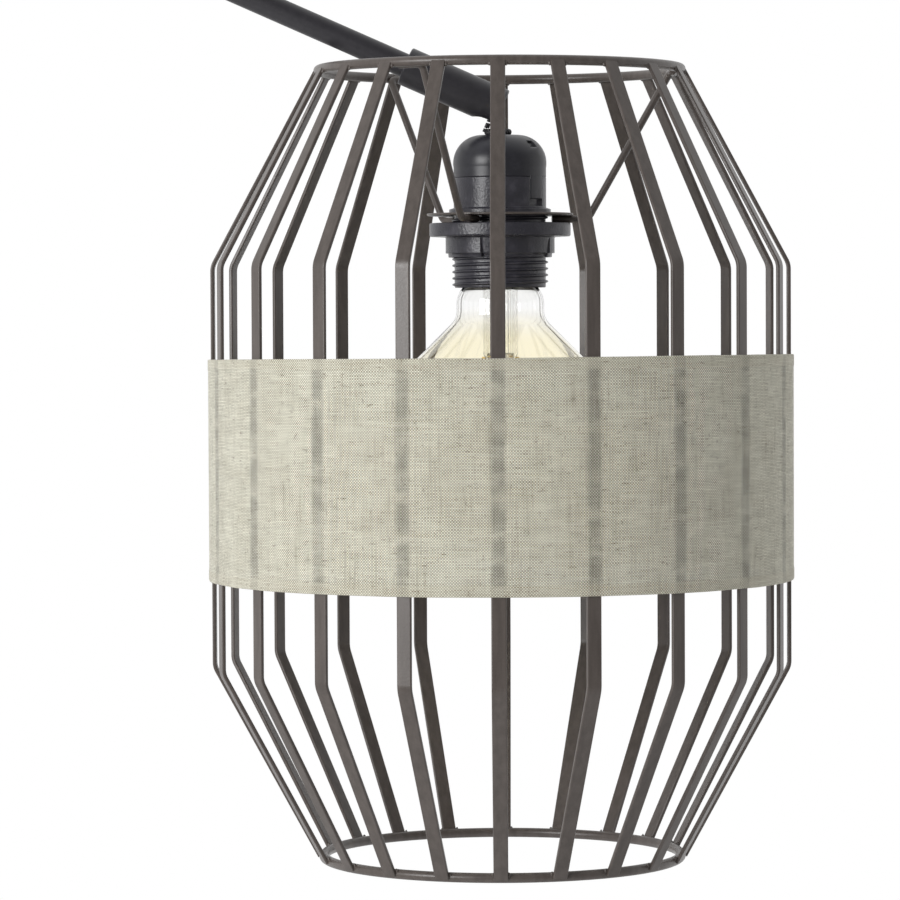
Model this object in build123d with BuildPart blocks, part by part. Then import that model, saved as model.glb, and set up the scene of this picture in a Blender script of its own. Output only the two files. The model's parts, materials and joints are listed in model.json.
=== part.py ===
"""Arc floor lamp with a caged shade and a linen band, in millimetres, +Z up.

The origin is the centre of the flat underside of the base pad. The pole stands on the
Z axis, the arm bows over towards +X, and the shade hangs from the arm's end sleeve.
"""
import os
from math import cos, hypot, radians, sin, tan

from build123d import *

# Driving dimensions of the base
BASE_R = 140.0
PAD_T = 2.0
WEIGHT_R = 134.0
WEIGHT_T = 18.0
COVER_T = 1.2
COVER_H = 21.5
CHANNEL_W = 9.0
CHANNEL_H = 8.0

# Driving dimensions of the pole and arm
TUBE_R = 8.0
TUBE_WALL = 1.3
ARM_R = 5.0
ARM_WALL = 1.4
POLE_JOINT_Z = 752.0
POLE_TOP_Z = 1478.0
ARM_FOOT_Z = 1450.0
BOW_START_Z = 1505.0
BOW_R = 190.0
DROOP = 24.0
RUN = 190.0
SLEEVE_R = 8.0
SLEEVE_L = 43.5
SLEEVE_GRIP = 24.0
NOTCH_W = 9.6
NOTCH_L = 10.0
FLEX_R = 2.7

# Driving dimensions of the shade, as heights measured down from the top ring's centre plane
RING_WIRE_R = 2.0
TOP_RING_R = 74.3
BOTTOM_RING_R = 73.6
CAGE_H = 323.0
UPPER_TAPER = 80.0
LOWER_TAPER = 78.0
BAR_COUNT = 20
BAR_W = 5.4
BAR_T = 1.6
BAR_OUTER_R = 119.15
BAR_BEND_R = 8.0
BAR_AT_TOP_RING = 76.1
BAR_AT_BOTTOM_RING = 76.2
BAND_TOP = 116.8
BAND_H = 92.0
LINER_T = 0.3
LINEN_T = 0.8

# Driving dimensions of the spider that carries the cage on the lampholder
SPIDER_AZIMUTHS = (-25.0, 98.0, 221.0)
LEG_R = 1.5
PLATE_R = 30.0
PLATE_HOLE_R = 20.0
PLATE_T = 1.0
PLATE_TOP = 58.7

# Driving dimensions of the lampholder, bulb and cord, as depths below the same plane
DOME_TOP = 26.7
SEAM = 44.1
HOLDER_R = 19.0
HOLDER_WALL = 1.9
HOLDER_BOTTOM = 89.2
THREAD_CREST_R = 19.7
THREAD_ROOT_R = 18.7
THREAD_PITCH = 3.5
FLANGE_R = 29.0
RING_SKIRT_R = 22.4
BULB_R = 47.5
BULB_CENTRE = 151.0
GLASS_T = 0.9
SWING_SIDE_DEPTH = 21.5
SWING_FRONT_DEPTH = 23.9

# Clearances: between parts that turn, between faces that lie together, and across the cord's bends
RUNNING_FIT = 0.06
SEAT_GAP = 0.05
CORD_GAP = 0.5

# Places worked out from them
ARC = 90.0 + DROOP
ARC_END_X = BOW_R * (1 - cos(radians(ARC)))
ARC_END_Z = BOW_START_Z + BOW_R * sin(radians(ARC))
DROOP_X = cos(radians(DROOP))
DROOP_Z = -sin(radians(DROOP))
SLEEVE_END_X = ARC_END_X + RUN * DROOP_X
SLEEVE_END_Z = ARC_END_Z + RUN * DROOP_Z
CORD_BEHIND_END = 1.0
RING_ABOVE_END = 15.7
SHADE_X = SLEEVE_END_X - CORD_BEHIND_END
SHADE_Z = SLEEVE_END_Z + RING_ABOVE_END
WEIGHT_TOP = PAD_T + WEIGHT_T
COVER_TOP = PAD_T + COVER_H
TUBE_BORE_R = TUBE_R - TUBE_WALL

SIDE_VIEW = Plane.XZ
SHADE_SIDE = Plane(origin=(SHADE_X, 0, SHADE_Z), x_dir=(1, 0, 0), z_dir=(0, -1, 0))
SHADE_AXIS = Axis((SHADE_X, 0, SHADE_Z), (0, 0, 1))

os.makedirs("parts", exist_ok=True)


def height(z):
    """The horizontal plane on the pole's axis, at a height above the floor."""
    return Plane.XY.offset(z)


def level(depth, azimuth=90.0):
    """The horizontal plane on the shade's axis, at a depth below the top ring's centre.

    Its x axis points out at an azimuth, in degrees from the front (-Y) towards +X.
    """
    return Plane(Location((SHADE_X, 0, SHADE_Z - depth), (0, 0, azimuth - 90.0)))


def save(piece, name):
    """Label a finished piece and write it to its own STEP file."""
    piece.label = name
    export_step(piece, f"parts/{name}.step")


def tube(plane, outer, inner, length):
    """A round tube, or a solid rod where inner is 0, standing on a plane."""
    with BuildPart() as body:
        with BuildSketch(plane):
            Circle(outer)
            if inner > 0:
                Circle(inner, mode=Mode.SUBTRACT)
        extrude(amount=length)
    return body.part


def turned(plane, axis, outline):
    """A piece turned about an axis from a closed outline of (radius, height) corners."""
    with BuildPart() as body:
        with BuildSketch(plane):
            with BuildLine():
                Polyline(*outline, close=True)
            make_face()
        revolve(axis=axis)
    return body.part


# Base: a full felt pad under an iron weight, dressed with a spun steel cover
PAD_INSET = 1.0
save(tube(height(0), BASE_R - PAD_INSET, 0, PAD_T), "base_pad")

NIPPLE_R = 5.0
NIPPLE_BORE_R = 3.75
NIPPLE_HOLE_R = 5.25
NUT_POCKET_R = 17.0
NUT_POCKET_H = 9.0
WEIGHT_EDGE = 1.5
with BuildPart() as base_weight:
    with BuildSketch(height(PAD_T)):
        Circle(WEIGHT_R)
    extrude(amount=WEIGHT_T)
    chamfer(base_weight.edges().group_by(Axis.Z)[-1], length=WEIGHT_EDGE)
    with BuildSketch(height(PAD_T)):
        Circle(NUT_POCKET_R)
    extrude(amount=NUT_POCKET_H, mode=Mode.SUBTRACT)
    with BuildSketch(height(PAD_T)):
        Circle(NIPPLE_HOLE_R)
    extrude(amount=WEIGHT_T, mode=Mode.SUBTRACT)
    with BuildSketch(height(PAD_T)):
        with Locations((0, WEIGHT_R / 2)):
            Rectangle(CHANNEL_W, WEIGHT_R)
    extrude(amount=CHANNEL_H, mode=Mode.SUBTRACT)
save(base_weight.part, "base_weight")

COVER_EDGE_R = 6.0
OUTLET_R = 4.0
OUTLET_Z = PAD_T + OUTLET_R + 2.0
with BuildPart() as base_cover:
    with BuildSketch(height(PAD_T)):
        Circle(BASE_R)
    extrude(amount=COVER_H)
    fillet(base_cover.edges().group_by(Axis.Z)[-1], radius=COVER_EDGE_R)
    offset(amount=-COVER_T, openings=base_cover.faces().sort_by(Axis.Z)[0])
    with BuildSketch(height(WEIGHT_TOP)):
        Circle(NIPPLE_HOLE_R)
    extrude(amount=COVER_H, mode=Mode.SUBTRACT)
    with BuildSketch(SIDE_VIEW.offset(-BASE_R - COVER_T)):
        with Locations((0, OUTLET_Z)):
            Circle(OUTLET_R)
    extrude(amount=3 * COVER_T, mode=Mode.SUBTRACT)
save(base_cover.part, "base_cover")

GROMMET_BORE_R = 2.6
GROMMET_LIP_R = 5.0
GROMMET_LIP_T = 1.6
GROMMET_GROOVE = 1.4
outlet_axis = Axis((0, BASE_R, OUTLET_Z), (0, 1, 0))
outlet_side = Plane(origin=(0, BASE_R, OUTLET_Z), x_dir=(0, 1, 0), z_dir=(1, 0, 0))
save(turned(outlet_side, outlet_axis, [
    (-GROMMET_GROOVE - GROMMET_LIP_T, GROMMET_BORE_R), (GROMMET_LIP_T, GROMMET_BORE_R),
    (GROMMET_LIP_T, GROMMET_LIP_R), (0.0, GROMMET_LIP_R), (0.0, OUTLET_R - SEAT_GAP),
    (-GROMMET_GROOVE, OUTLET_R - SEAT_GAP), (-GROMMET_GROOVE, GROMMET_LIP_R),
    (-GROMMET_GROOVE - GROMMET_LIP_T, GROMMET_LIP_R),
]), "cord_grommet")

NIPPLE_FOOT_Z = PAD_T + 1.5
NIPPLE_TOP_Z = 44.0
save(tube(height(NIPPLE_FOOT_Z), NIPPLE_R, NIPPLE_BORE_R, NIPPLE_TOP_Z - NIPPLE_FOOT_Z),
     "threaded_nipple")

NUT_FLATS_R = 7.5
NUT_H = 4.5
NUT_FLANGE_R = 13.0
NUT_FLANGE_T = 1.5
NUT_FOOT_Z = PAD_T + NUT_POCKET_H - NUT_FLANGE_T - NUT_H
with BuildPart() as base_nut:
    with BuildSketch(height(NUT_FOOT_Z)):
        RegularPolygon(NUT_FLATS_R, 6, major_radius=False)
    extrude(amount=NUT_H)
    with BuildSketch(height(NUT_FOOT_Z + NUT_H)):
        Circle(NUT_FLANGE_R)
    extrude(amount=NUT_FLANGE_T)
    with BuildSketch(height(NUT_FOOT_Z)):
        Circle(NIPPLE_R)
    extrude(amount=NUT_H + NUT_FLANGE_T, mode=Mode.SUBTRACT)
save(base_nut.part, "base_nut")

# Pole: a bell collar on the base, two screwed tubes and the socket that takes the arm
COLLAR_FOOT_R = 21.0
COLLAR_RIM_H = 2.5
COLLAR_NECK_R = 10.5
COLLAR_NECK_H = 13.0
COLLAR_H = 26.0
COLLAR_TOP_R = 9.4
BELL_START = (-1.0, 0.12)
COLLAR_BORE_R = TUBE_R + SEAT_GAP
with BuildPart() as foot_collar:
    with BuildSketch(SIDE_VIEW):
        rim = (COLLAR_FOOT_R, COVER_TOP + COLLAR_RIM_H)
        neck = (COLLAR_NECK_R, COVER_TOP + COLLAR_NECK_H)
        with BuildLine():
            TangentArc(rim, neck, tangent=BELL_START)
            Polyline(neck, (COLLAR_TOP_R, COVER_TOP + COLLAR_H), (COLLAR_BORE_R, COVER_TOP + COLLAR_H),
                     (COLLAR_BORE_R, COVER_TOP), (COLLAR_FOOT_R, COVER_TOP), rim)
        make_face()
    revolve(axis=Axis.Z)
save(foot_collar.part, "foot_collar")

BUSH_H = 24.0
save(tube(height(COVER_TOP), TUBE_BORE_R, NIPPLE_R, BUSH_H), "foot_bush")
save(tube(height(COVER_TOP), TUBE_R, TUBE_BORE_R, POLE_JOINT_Z - COVER_TOP), "lower_tube")
save(tube(height(POLE_JOINT_Z), TUBE_R, TUBE_BORE_R, POLE_TOP_Z - POLE_JOINT_Z), "upper_tube")

STUD_R = 5.0
STUD_L = 16.0
STUD_LEAD_IN = 0.6
PLUG_L = 20.0
with BuildPart() as coupler_stud:
    with BuildSketch(height(POLE_JOINT_Z - PLUG_L)):
        Circle(TUBE_BORE_R)
    extrude(amount=PLUG_L)
    with BuildSketch(height(POLE_JOINT_Z)):
        Circle(STUD_R)
    extrude(amount=STUD_L)
    chamfer(coupler_stud.edges().group_by(Axis.Z)[-1], length=STUD_LEAD_IN)
    with BuildSketch(height(POLE_JOINT_Z - PLUG_L)):
        Circle(NIPPLE_BORE_R)
    extrude(amount=PLUG_L + STUD_L, mode=Mode.SUBTRACT)
save(coupler_stud.part, "coupler_stud")
save(tube(height(POLE_JOINT_Z), TUBE_BORE_R, STUD_R, PLUG_L), "coupler_socket")

SOCKET_PLUG_Z = ARM_FOOT_Z - 16.0
SOCKET_TOP_Z = POLE_TOP_Z + 20.0
SOCKET_NOSE_H = 5.0
SOCKET_NOSE_R = 6.5
ARM_SEAT_R = ARM_R + RUNNING_FIT
FLEX_BORE_R = 3.4
CLAMP_SCREW_R = 2.0
CLAMP_SCREW_L = 3.4
CLAMP_TIP_GAP = 0.1
HEX_RECESS_R = 1.0
HEX_RECESS_DEPTH = 1.8
screw_seat = Plane(
    origin=(0, ARM_R + CLAMP_TIP_GAP, (POLE_TOP_Z + SOCKET_TOP_Z - SOCKET_NOSE_H) / 2),
    x_dir=(1, 0, 0), z_dir=(0, 1, 0),
)
with BuildPart() as arm_socket:
    add(turned(SIDE_VIEW, Axis.Z, [
        (FLEX_BORE_R, SOCKET_PLUG_Z), (TUBE_BORE_R, SOCKET_PLUG_Z), (TUBE_BORE_R, POLE_TOP_Z),
        (TUBE_R, POLE_TOP_Z), (TUBE_R, SOCKET_TOP_Z - SOCKET_NOSE_H), (SOCKET_NOSE_R, SOCKET_TOP_Z),
        (ARM_SEAT_R, SOCKET_TOP_Z), (ARM_SEAT_R, ARM_FOOT_Z), (FLEX_BORE_R, ARM_FOOT_Z),
    ]))
    with BuildSketch(screw_seat):
        Circle(CLAMP_SCREW_R)
    extrude(amount=TUBE_R, mode=Mode.SUBTRACT)
save(arm_socket.part, "arm_socket")

with BuildPart() as arm_clamp_screw:
    with BuildSketch(screw_seat):
        Circle(CLAMP_SCREW_R)
    extrude(amount=CLAMP_SCREW_L)
    with BuildSketch(screw_seat.offset(CLAMP_SCREW_L)):
        RegularPolygon(HEX_RECESS_R, 6)
    extrude(amount=-HEX_RECESS_DEPTH, mode=Mode.SUBTRACT)
save(arm_clamp_screw.part, "arm_clamp_screw")

save(tube(height(NIPPLE_FOOT_Z), FLEX_R, 0, ARM_FOOT_Z - NIPPLE_FOOT_Z), "pole_flex")

# Arm: one bent tube, its end sleeve with an open notch below, and the flex inside
TUBE_RUN = RUN - SLEEVE_L + SLEEVE_GRIP
with BuildLine(SIDE_VIEW) as bow_path:
    Line((0, ARM_FOOT_Z), (0, BOW_START_Z))
    CenterArc((BOW_R, BOW_START_Z), BOW_R, 180, -ARC)
    Line((ARC_END_X, ARC_END_Z), (ARC_END_X + TUBE_RUN * DROOP_X, ARC_END_Z + TUBE_RUN * DROOP_Z))
with BuildPart() as bow_arm:
    with BuildSketch(height(ARM_FOOT_Z)):
        Circle(ARM_R)
        Circle(ARM_R - ARM_WALL, mode=Mode.SUBTRACT)
    sweep(path=bow_path.line)
save(bow_arm.part, "bow_arm")

SLEEVE_BORE_R = 6.4
SLEEVE_EDGE = 0.8
sleeve_start = Plane(
    origin=(SLEEVE_END_X - SLEEVE_L * DROOP_X, 0, SLEEVE_END_Z - SLEEVE_L * DROOP_Z),
    x_dir=(0, 1, 0), z_dir=(DROOP_X, 0, DROOP_Z),
)
sleeve_underside = Plane(
    origin=(SLEEVE_END_X, 0, SLEEVE_END_Z), x_dir=(-DROOP_X, 0, -DROOP_Z),
    z_dir=(DROOP_Z, 0, -DROOP_X),
)
with BuildPart() as arm_sleeve:
    with BuildSketch(sleeve_start):
        Circle(SLEEVE_R)
    extrude(amount=SLEEVE_L)
    chamfer(arm_sleeve.edges().filter_by(GeomType.CIRCLE), length=SLEEVE_EDGE)
    with BuildSketch(sleeve_start):
        Circle(ARM_R)
    extrude(amount=SLEEVE_GRIP, mode=Mode.SUBTRACT)
    with BuildSketch(sleeve_start.offset(SLEEVE_GRIP)):
        Circle(SLEEVE_BORE_R)
    extrude(amount=SLEEVE_L, mode=Mode.SUBTRACT)
    with BuildSketch(sleeve_underside):
        SlotCenterToCenter(2 * NOTCH_L - NOTCH_W, NOTCH_W)
    extrude(amount=2 * SLEEVE_R, mode=Mode.SUBTRACT)
save(arm_sleeve.part, "arm_sleeve")

CORD_BEND_R = 7.0
cord_corner_z = SLEEVE_END_Z + CORD_BEHIND_END * tan(radians(DROOP))
with BuildLine(SIDE_VIEW) as flex_path:
    Line((0, ARM_FOOT_Z), (0, BOW_START_Z))
    CenterArc((BOW_R, BOW_START_Z), BOW_R, 180, -ARC)
    FilletPolyline(
        (ARC_END_X, ARC_END_Z), (SHADE_X, cord_corner_z),
        (SHADE_X, SHADE_Z - SWING_SIDE_DEPTH + CORD_GAP / 2), radius=CORD_BEND_R,
    )
with BuildPart() as arm_flex:
    with BuildSketch(height(ARM_FOOT_Z)):
        Circle(FLEX_R)
    sweep(path=flex_path.line)
save(arm_flex.part, "arm_flex")
print("cord radii in the bow and at the sleeve's notch", BOW_R, CORD_BEND_R)

# Cord between the sleeve and the lampholder: a short drop and the knot on the dome
DROP_L = SWING_FRONT_DEPTH - SWING_SIDE_DEPTH - CORD_GAP
save(tube(level(SWING_FRONT_DEPTH - CORD_GAP / 2), FLEX_R, 0, DROP_L), "cord_drop")

KNOT_R = 6.6
KNOT_FOOT = DOME_TOP - SEAT_GAP
KNOT_H = KNOT_FOOT - SWING_FRONT_DEPTH - CORD_GAP / 2
with BuildPart() as cord_knot:
    with BuildSketch(level(KNOT_FOOT)):
        Circle(KNOT_R)
    extrude(amount=KNOT_H)
    chamfer(cord_knot.edges().filter_by(GeomType.CIRCLE), length=KNOT_H / 3)
save(cord_knot.part, "cord_knot")

# Lampholder: dome cap with a latch tongue, threaded body, cord grip, terminal block and contacts
DOME_CROWN_R = 9.0
DOME_SKIRT_H = 4.0
DOME_START = (1.0, -0.12)
DOME_BORE_R = HOLDER_R - HOLDER_WALL
CORD_HOLE_R = 3.2
LATCH_AZIMUTH = 53.0
LATCH_W = 8.0
LATCH_DEPTH = 1.0
LATCH_FOOT = 55.9
CATCH_DEPTH = 1.4
CATCH_H = 2.8
KEY_SLOT_R = 15.6
KEY_SLOT_SPAN = 2.0
KEY_SLOT_W = 3.8
KEY_SLOT_FLOOR = 31.4


def dome(inset):
    """The solid under the dome's surface, drawn in from it by an even thickness."""
    crown = (DOME_CROWN_R - inset, -DOME_TOP - inset)
    shoulder = (HOLDER_R - inset, -SEAM + DOME_SKIRT_H)
    with BuildPart() as solid:
        with BuildSketch(SHADE_SIDE):
            with BuildLine():
                TangentArc(crown, shoulder, tangent=DOME_START)
                Polyline(shoulder, (HOLDER_R - inset, -SEAM), (0, -SEAM), (0, -DOME_TOP - inset), crown)
            make_face()
        revolve(axis=SHADE_AXIS)
    return solid.part


with BuildPart() as holder_cap:
    add(dome(0.0))
    add(dome(HOLDER_WALL), mode=Mode.SUBTRACT)
    with BuildSketch(level(DOME_TOP)):
        Circle(CORD_HOLE_R)
    extrude(amount=-2 * HOLDER_WALL, mode=Mode.SUBTRACT)
    with BuildSketch(level(KEY_SLOT_FLOOR, LATCH_AZIMUTH)):
        with Locations((KEY_SLOT_R, 0)):
            Rectangle(KEY_SLOT_SPAN, KEY_SLOT_W)
    extrude(amount=KEY_SLOT_FLOOR - DOME_TOP, mode=Mode.SUBTRACT)
    with BuildSketch(level(SEAM, LATCH_AZIMUTH)):
        with Locations((HOLDER_R, 0)):
            Rectangle(2 * (LATCH_DEPTH - SEAT_GAP), LATCH_W - 2 * SEAT_GAP)
        Circle(HOLDER_R, mode=Mode.INTERSECT)
    extrude(amount=-(LATCH_FOOT - CATCH_H - SEAM))
save(holder_cap.part, "holder_cap")

COLLAR_R = 20.9
COLLAR_T = 1.6
COLLAR_SLOPE = 0.6
THREAD_TOP = PLATE_TOP + 0.6
THREAD_END = 86.7
THREAD_FLANK = 0.7
THREAD_ROOT_W = 0.9
THREAD_CREST_W = 1.2
RIM_FLARE = 0.2
RIM_EDGE = 0.6
MOUTH_R = 17.3
MOUTH_DEPTH = 82.0
SOCKET_R = 13.6
SOCKET_TOP = 60.0
thread = []
for turn in range(int((THREAD_END - THREAD_TOP) / THREAD_PITCH)):
    flank = THREAD_TOP + turn * THREAD_PITCH + THREAD_ROOT_W
    crest = flank + THREAD_FLANK
    thread += [(THREAD_ROOT_R, -flank), (THREAD_CREST_R, -crest),
               (THREAD_CREST_R, -crest - THREAD_CREST_W)]
with BuildPart() as holder_body:
    add(turned(SHADE_SIDE, SHADE_AXIS, [
        (DOME_BORE_R, -SEAM), (HOLDER_R, -SEAM), (HOLDER_R, -PLATE_TOP + COLLAR_T + COLLAR_SLOPE),
        (COLLAR_R, -PLATE_TOP + COLLAR_T), (COLLAR_R, -PLATE_TOP), (THREAD_ROOT_R, -PLATE_TOP),
        *thread,
        (THREAD_ROOT_R, -THREAD_END), (THREAD_ROOT_R + RIM_FLARE, -HOLDER_BOTTOM + RIM_EDGE),
        (THREAD_ROOT_R - RIM_EDGE, -HOLDER_BOTTOM), (MOUTH_R, -HOLDER_BOTTOM),
        (MOUTH_R, -MOUTH_DEPTH), (SOCKET_R, -MOUTH_DEPTH), (SOCKET_R, -SOCKET_TOP),
        (DOME_BORE_R, -SOCKET_TOP),
    ]))
    for depth, rise in ((LATCH_DEPTH, LATCH_FOOT - SEAM), (CATCH_DEPTH, CATCH_H)):
        with BuildSketch(level(LATCH_FOOT, LATCH_AZIMUTH)):
            with Locations((HOLDER_R, 0)):
                Rectangle(2 * depth, LATCH_W)
        extrude(amount=rise, mode=Mode.SUBTRACT)
save(holder_body.part, "holder_body")

GRIP_R = 7.0
GRIP_H = 5.0
save(tube(level(DOME_TOP + HOLDER_WALL + GRIP_H), GRIP_R, CORD_HOLE_R, GRIP_H), "cord_grip")

BLOCK_R = 15.8
BLOCK_TOP = 47.0
BLOCK_EDGE = 1.2
WELL_DEPTH = 6.0
WELL_R = 2.1
SCREW_SPACING = 15.0
WIRE_SLOT_W = 5.0
WIRE_SLOT_L = 26.0
with BuildPart() as terminal_block:
    with BuildSketch(level(SOCKET_TOP)):
        Circle(BLOCK_R)
    extrude(amount=SOCKET_TOP - BLOCK_TOP)
    chamfer(terminal_block.edges().group_by(Axis.Z)[-1], length=BLOCK_EDGE)
    with BuildSketch(level(BLOCK_TOP)):
        Rectangle(WIRE_SLOT_W, WIRE_SLOT_L)
        with GridLocations(SCREW_SPACING, 0, 2, 1):
            Circle(WELL_R)
    extrude(amount=-WELL_DEPTH, mode=Mode.SUBTRACT)
save(terminal_block.part, "terminal_block")

SCREW_R = 1.6
SCREW_L = 4.6
SCREW_SLOT_W = 0.6
SCREW_SLOT_DEPTH = 0.8
with BuildPart() as terminal_screws:
    with BuildSketch(level(BLOCK_TOP + WELL_DEPTH)):
        with GridLocations(SCREW_SPACING, 0, 2, 1):
            Circle(SCREW_R)
    extrude(amount=SCREW_L)
    with BuildSketch(level(BLOCK_TOP + WELL_DEPTH - SCREW_L)):
        with GridLocations(SCREW_SPACING, 0, 2, 1):
            Rectangle(SCREW_SLOT_W, 3 * SCREW_R)
    extrude(amount=-SCREW_SLOT_DEPTH, mode=Mode.SUBTRACT)
save(terminal_screws.part, "terminal_screws")

CONTACT_T = 0.5
TONGUE_W = 4.4
TONGUE_SPRING = 1.0
TONGUE_ROOT_X = -8.0
TONGUE_TIP_X = 2.5
with BuildPart() as centre_contact:
    with BuildSketch(SHADE_SIDE):
        with BuildLine():
            Polyline((TONGUE_ROOT_X, -SOCKET_TOP), (TONGUE_ROOT_X, -SOCKET_TOP - CONTACT_T),
                     (-TONGUE_TIP_X, -SOCKET_TOP - CONTACT_T - TONGUE_SPRING),
                     (TONGUE_TIP_X, -SOCKET_TOP - CONTACT_T - TONGUE_SPRING),
                     (TONGUE_TIP_X, -SOCKET_TOP - TONGUE_SPRING),
                     (-TONGUE_TIP_X, -SOCKET_TOP - TONGUE_SPRING), close=True)
        make_face()
    extrude(amount=TONGUE_W / 2, both=True)
save(centre_contact.part, "centre_contact")

STRIP_W = 3.6
STRIP_L = 14.0
STRIP_ROOT_X = 9.0
with BuildPart() as side_contact:
    with BuildSketch(SHADE_SIDE):
        with BuildLine():
            Polyline((STRIP_ROOT_X, -SOCKET_TOP), (SOCKET_R, -SOCKET_TOP),
                     (SOCKET_R, -SOCKET_TOP - STRIP_L), (SOCKET_R - CONTACT_T, -SOCKET_TOP - STRIP_L),
                     (SOCKET_R - CONTACT_T, -SOCKET_TOP - CONTACT_T),
                     (STRIP_ROOT_X, -SOCKET_TOP - CONTACT_T), close=True)
        make_face()
    extrude(amount=STRIP_W / 2, both=True)
    with BuildSketch(level(SOCKET_TOP + STRIP_L)):
        Circle(SOCKET_R)
    extrude(amount=STRIP_L, mode=Mode.INTERSECT)
save(side_contact.part, "side_contact")

# Screw ring that holds the spider up against the lampholder's collar
FLANGE_TOP = PLATE_TOP + PLATE_T + 2 * LEG_R
FLANGE_BOTTOM = 68.6
FLANGE_EDGE = 0.6
SKIRT_BOTTOM = 76.8
SKIRT_EDGE = 1.3
RING_BORE_R = THREAD_CREST_R + RUNNING_FIT
LUG_COUNT = 4
RECESS_AZIMUTH = 46.0
RECESS_ARC = 43.0
RECESS_DEPTH = 0.55
with BuildPart() as shade_ring:
    add(turned(SHADE_SIDE, SHADE_AXIS, [
        (RING_BORE_R, -FLANGE_TOP), (FLANGE_R - FLANGE_EDGE, -FLANGE_TOP),
        (FLANGE_R, -FLANGE_TOP - FLANGE_EDGE), (FLANGE_R, -FLANGE_BOTTOM + 2 * FLANGE_EDGE),
        (FLANGE_R - FLANGE_EDGE, -FLANGE_BOTTOM + FLANGE_EDGE), (RING_SKIRT_R, -FLANGE_BOTTOM),
        (RING_SKIRT_R, -SKIRT_BOTTOM + SKIRT_EDGE), (RING_SKIRT_R - SKIRT_EDGE, -SKIRT_BOTTOM),
        (RING_BORE_R, -SKIRT_BOTTOM),
    ]))
    half_w = FLANGE_R * tan(radians(RECESS_ARC / 2))
    with BuildSketch(level(SKIRT_BOTTOM, RECESS_AZIMUTH)):
        with PolarLocations(0, LUG_COUNT):
            Polygon((0, 0), (FLANGE_R, -half_w), (FLANGE_R, half_w), align=None)
        Circle(RING_SKIRT_R - RECESS_DEPTH, mode=Mode.SUBTRACT)
    extrude(amount=SKIRT_BOTTOM - FLANGE_BOTTOM, mode=Mode.SUBTRACT)
save(shade_ring.part, "shade_ring")

# Spider: a washer plate and three bent legs, each with a foot welded along the top ring
save(tube(level(PLATE_TOP + PLATE_T), PLATE_R, PLATE_HOLE_R, PLATE_T), "spider_plate")

LEG_LEVEL = PLATE_TOP + PLATE_T + LEG_R
LEG_INNER_R = 21.5
LEG_KNEE_R = 36.4
LEG_BEND_R = 4.0
FOOT_L = 11.0
FOOT_BELOW = radians(50.0)
FOOT_R = TOP_RING_R - (RING_WIRE_R + LEG_R) * cos(FOOT_BELOW)
FOOT_DEPTH = (RING_WIRE_R + LEG_R) * sin(FOOT_BELOW)
FOOT_TURN = FOOT_L / FOOT_R
with BuildPart() as spider_legs:
    for azimuth in SPIDER_AZIMUTHS:
        turn = radians(azimuth)
        leg_side = Plane(origin=SHADE_SIDE.origin, x_dir=(sin(turn), -cos(turn), 0),
                         z_dir=(-cos(turn), -sin(turn), 0))
        with BuildLine(leg_side) as leg_path:
            FilletPolyline(
                (LEG_INNER_R, -LEG_LEVEL, 0), (LEG_KNEE_R, -LEG_LEVEL, 0), (FOOT_R, -FOOT_DEPTH, 0),
                (FOOT_R * cos(FOOT_TURN), -FOOT_DEPTH, FOOT_R * sin(FOOT_TURN)),
                radius=LEG_BEND_R,
            )
        with BuildSketch(Plane(origin=leg_path.line @ 0, z_dir=leg_path.line % 0)):
            Circle(LEG_R)
        sweep(path=leg_path.line)
save(spider_legs.part, "spider_legs")


# Cage: two wire rings and twenty flat bars, bent twice, welded to both rings
def wire_ring(ring_r, depth):
    """A ring of round wire about the shade's axis."""
    with BuildPart() as ring:
        with BuildSketch(SHADE_SIDE):
            with Locations((ring_r, -depth)):
                Circle(RING_WIRE_R)
        revolve(axis=SHADE_AXIS)
    return ring.part


top_ring = wire_ring(TOP_RING_R, 0.0)
bottom_ring = wire_ring(BOTTOM_RING_R, CAGE_H)
save(top_ring, "top_ring")
save(bottom_ring, "bottom_ring")

BAR_OVERRUN = 0.4
middle_r = BAR_OUTER_R - BAR_T / 2
upper_lean = hypot(UPPER_TAPER, BAR_OUTER_R - BAR_AT_TOP_RING) / UPPER_TAPER
lower_lean = hypot(LOWER_TAPER, BAR_OUTER_R - BAR_AT_BOTTOM_RING) / LOWER_TAPER
with BuildPart() as bar_blank:
    with BuildSketch(SHADE_SIDE):
        with BuildLine():
            FilletPolyline(
                (BAR_AT_TOP_RING - BAR_T / 2 * upper_lean, BAR_OVERRUN),
                (middle_r, -UPPER_TAPER),
                (middle_r, -CAGE_H + LOWER_TAPER),
                (BAR_AT_BOTTOM_RING - BAR_T / 2 * lower_lean, -CAGE_H - BAR_OVERRUN),
                radius=BAR_BEND_R,
            )
        trace(line_width=BAR_T)
    extrude(amount=BAR_W / 2, both=True)
    add(top_ring, mode=Mode.SUBTRACT)
    add(bottom_ring, mode=Mode.SUBTRACT)

bar = bar_blank.part.solids().sort_by(SortBy.VOLUME)[-1]
for number in range(BAR_COUNT):
    azimuth = number * 360.0 / BAR_COUNT
    save(bar.rotate(SHADE_AXIS, azimuth - 90.0), f"cage_bar_{number + 1:02d}")

# Band round the middle: linen laminated to a thin stiff liner
LINER_R = BAR_OUTER_R + SEAT_GAP
LINEN_R = LINER_R + LINER_T
band_foot = level(BAND_TOP + BAND_H)
save(tube(band_foot, LINEN_R, LINER_R, BAND_H), "band_liner")
save(tube(band_foot, LINEN_R + LINEN_T, LINEN_R, BAND_H), "linen_band")

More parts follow.
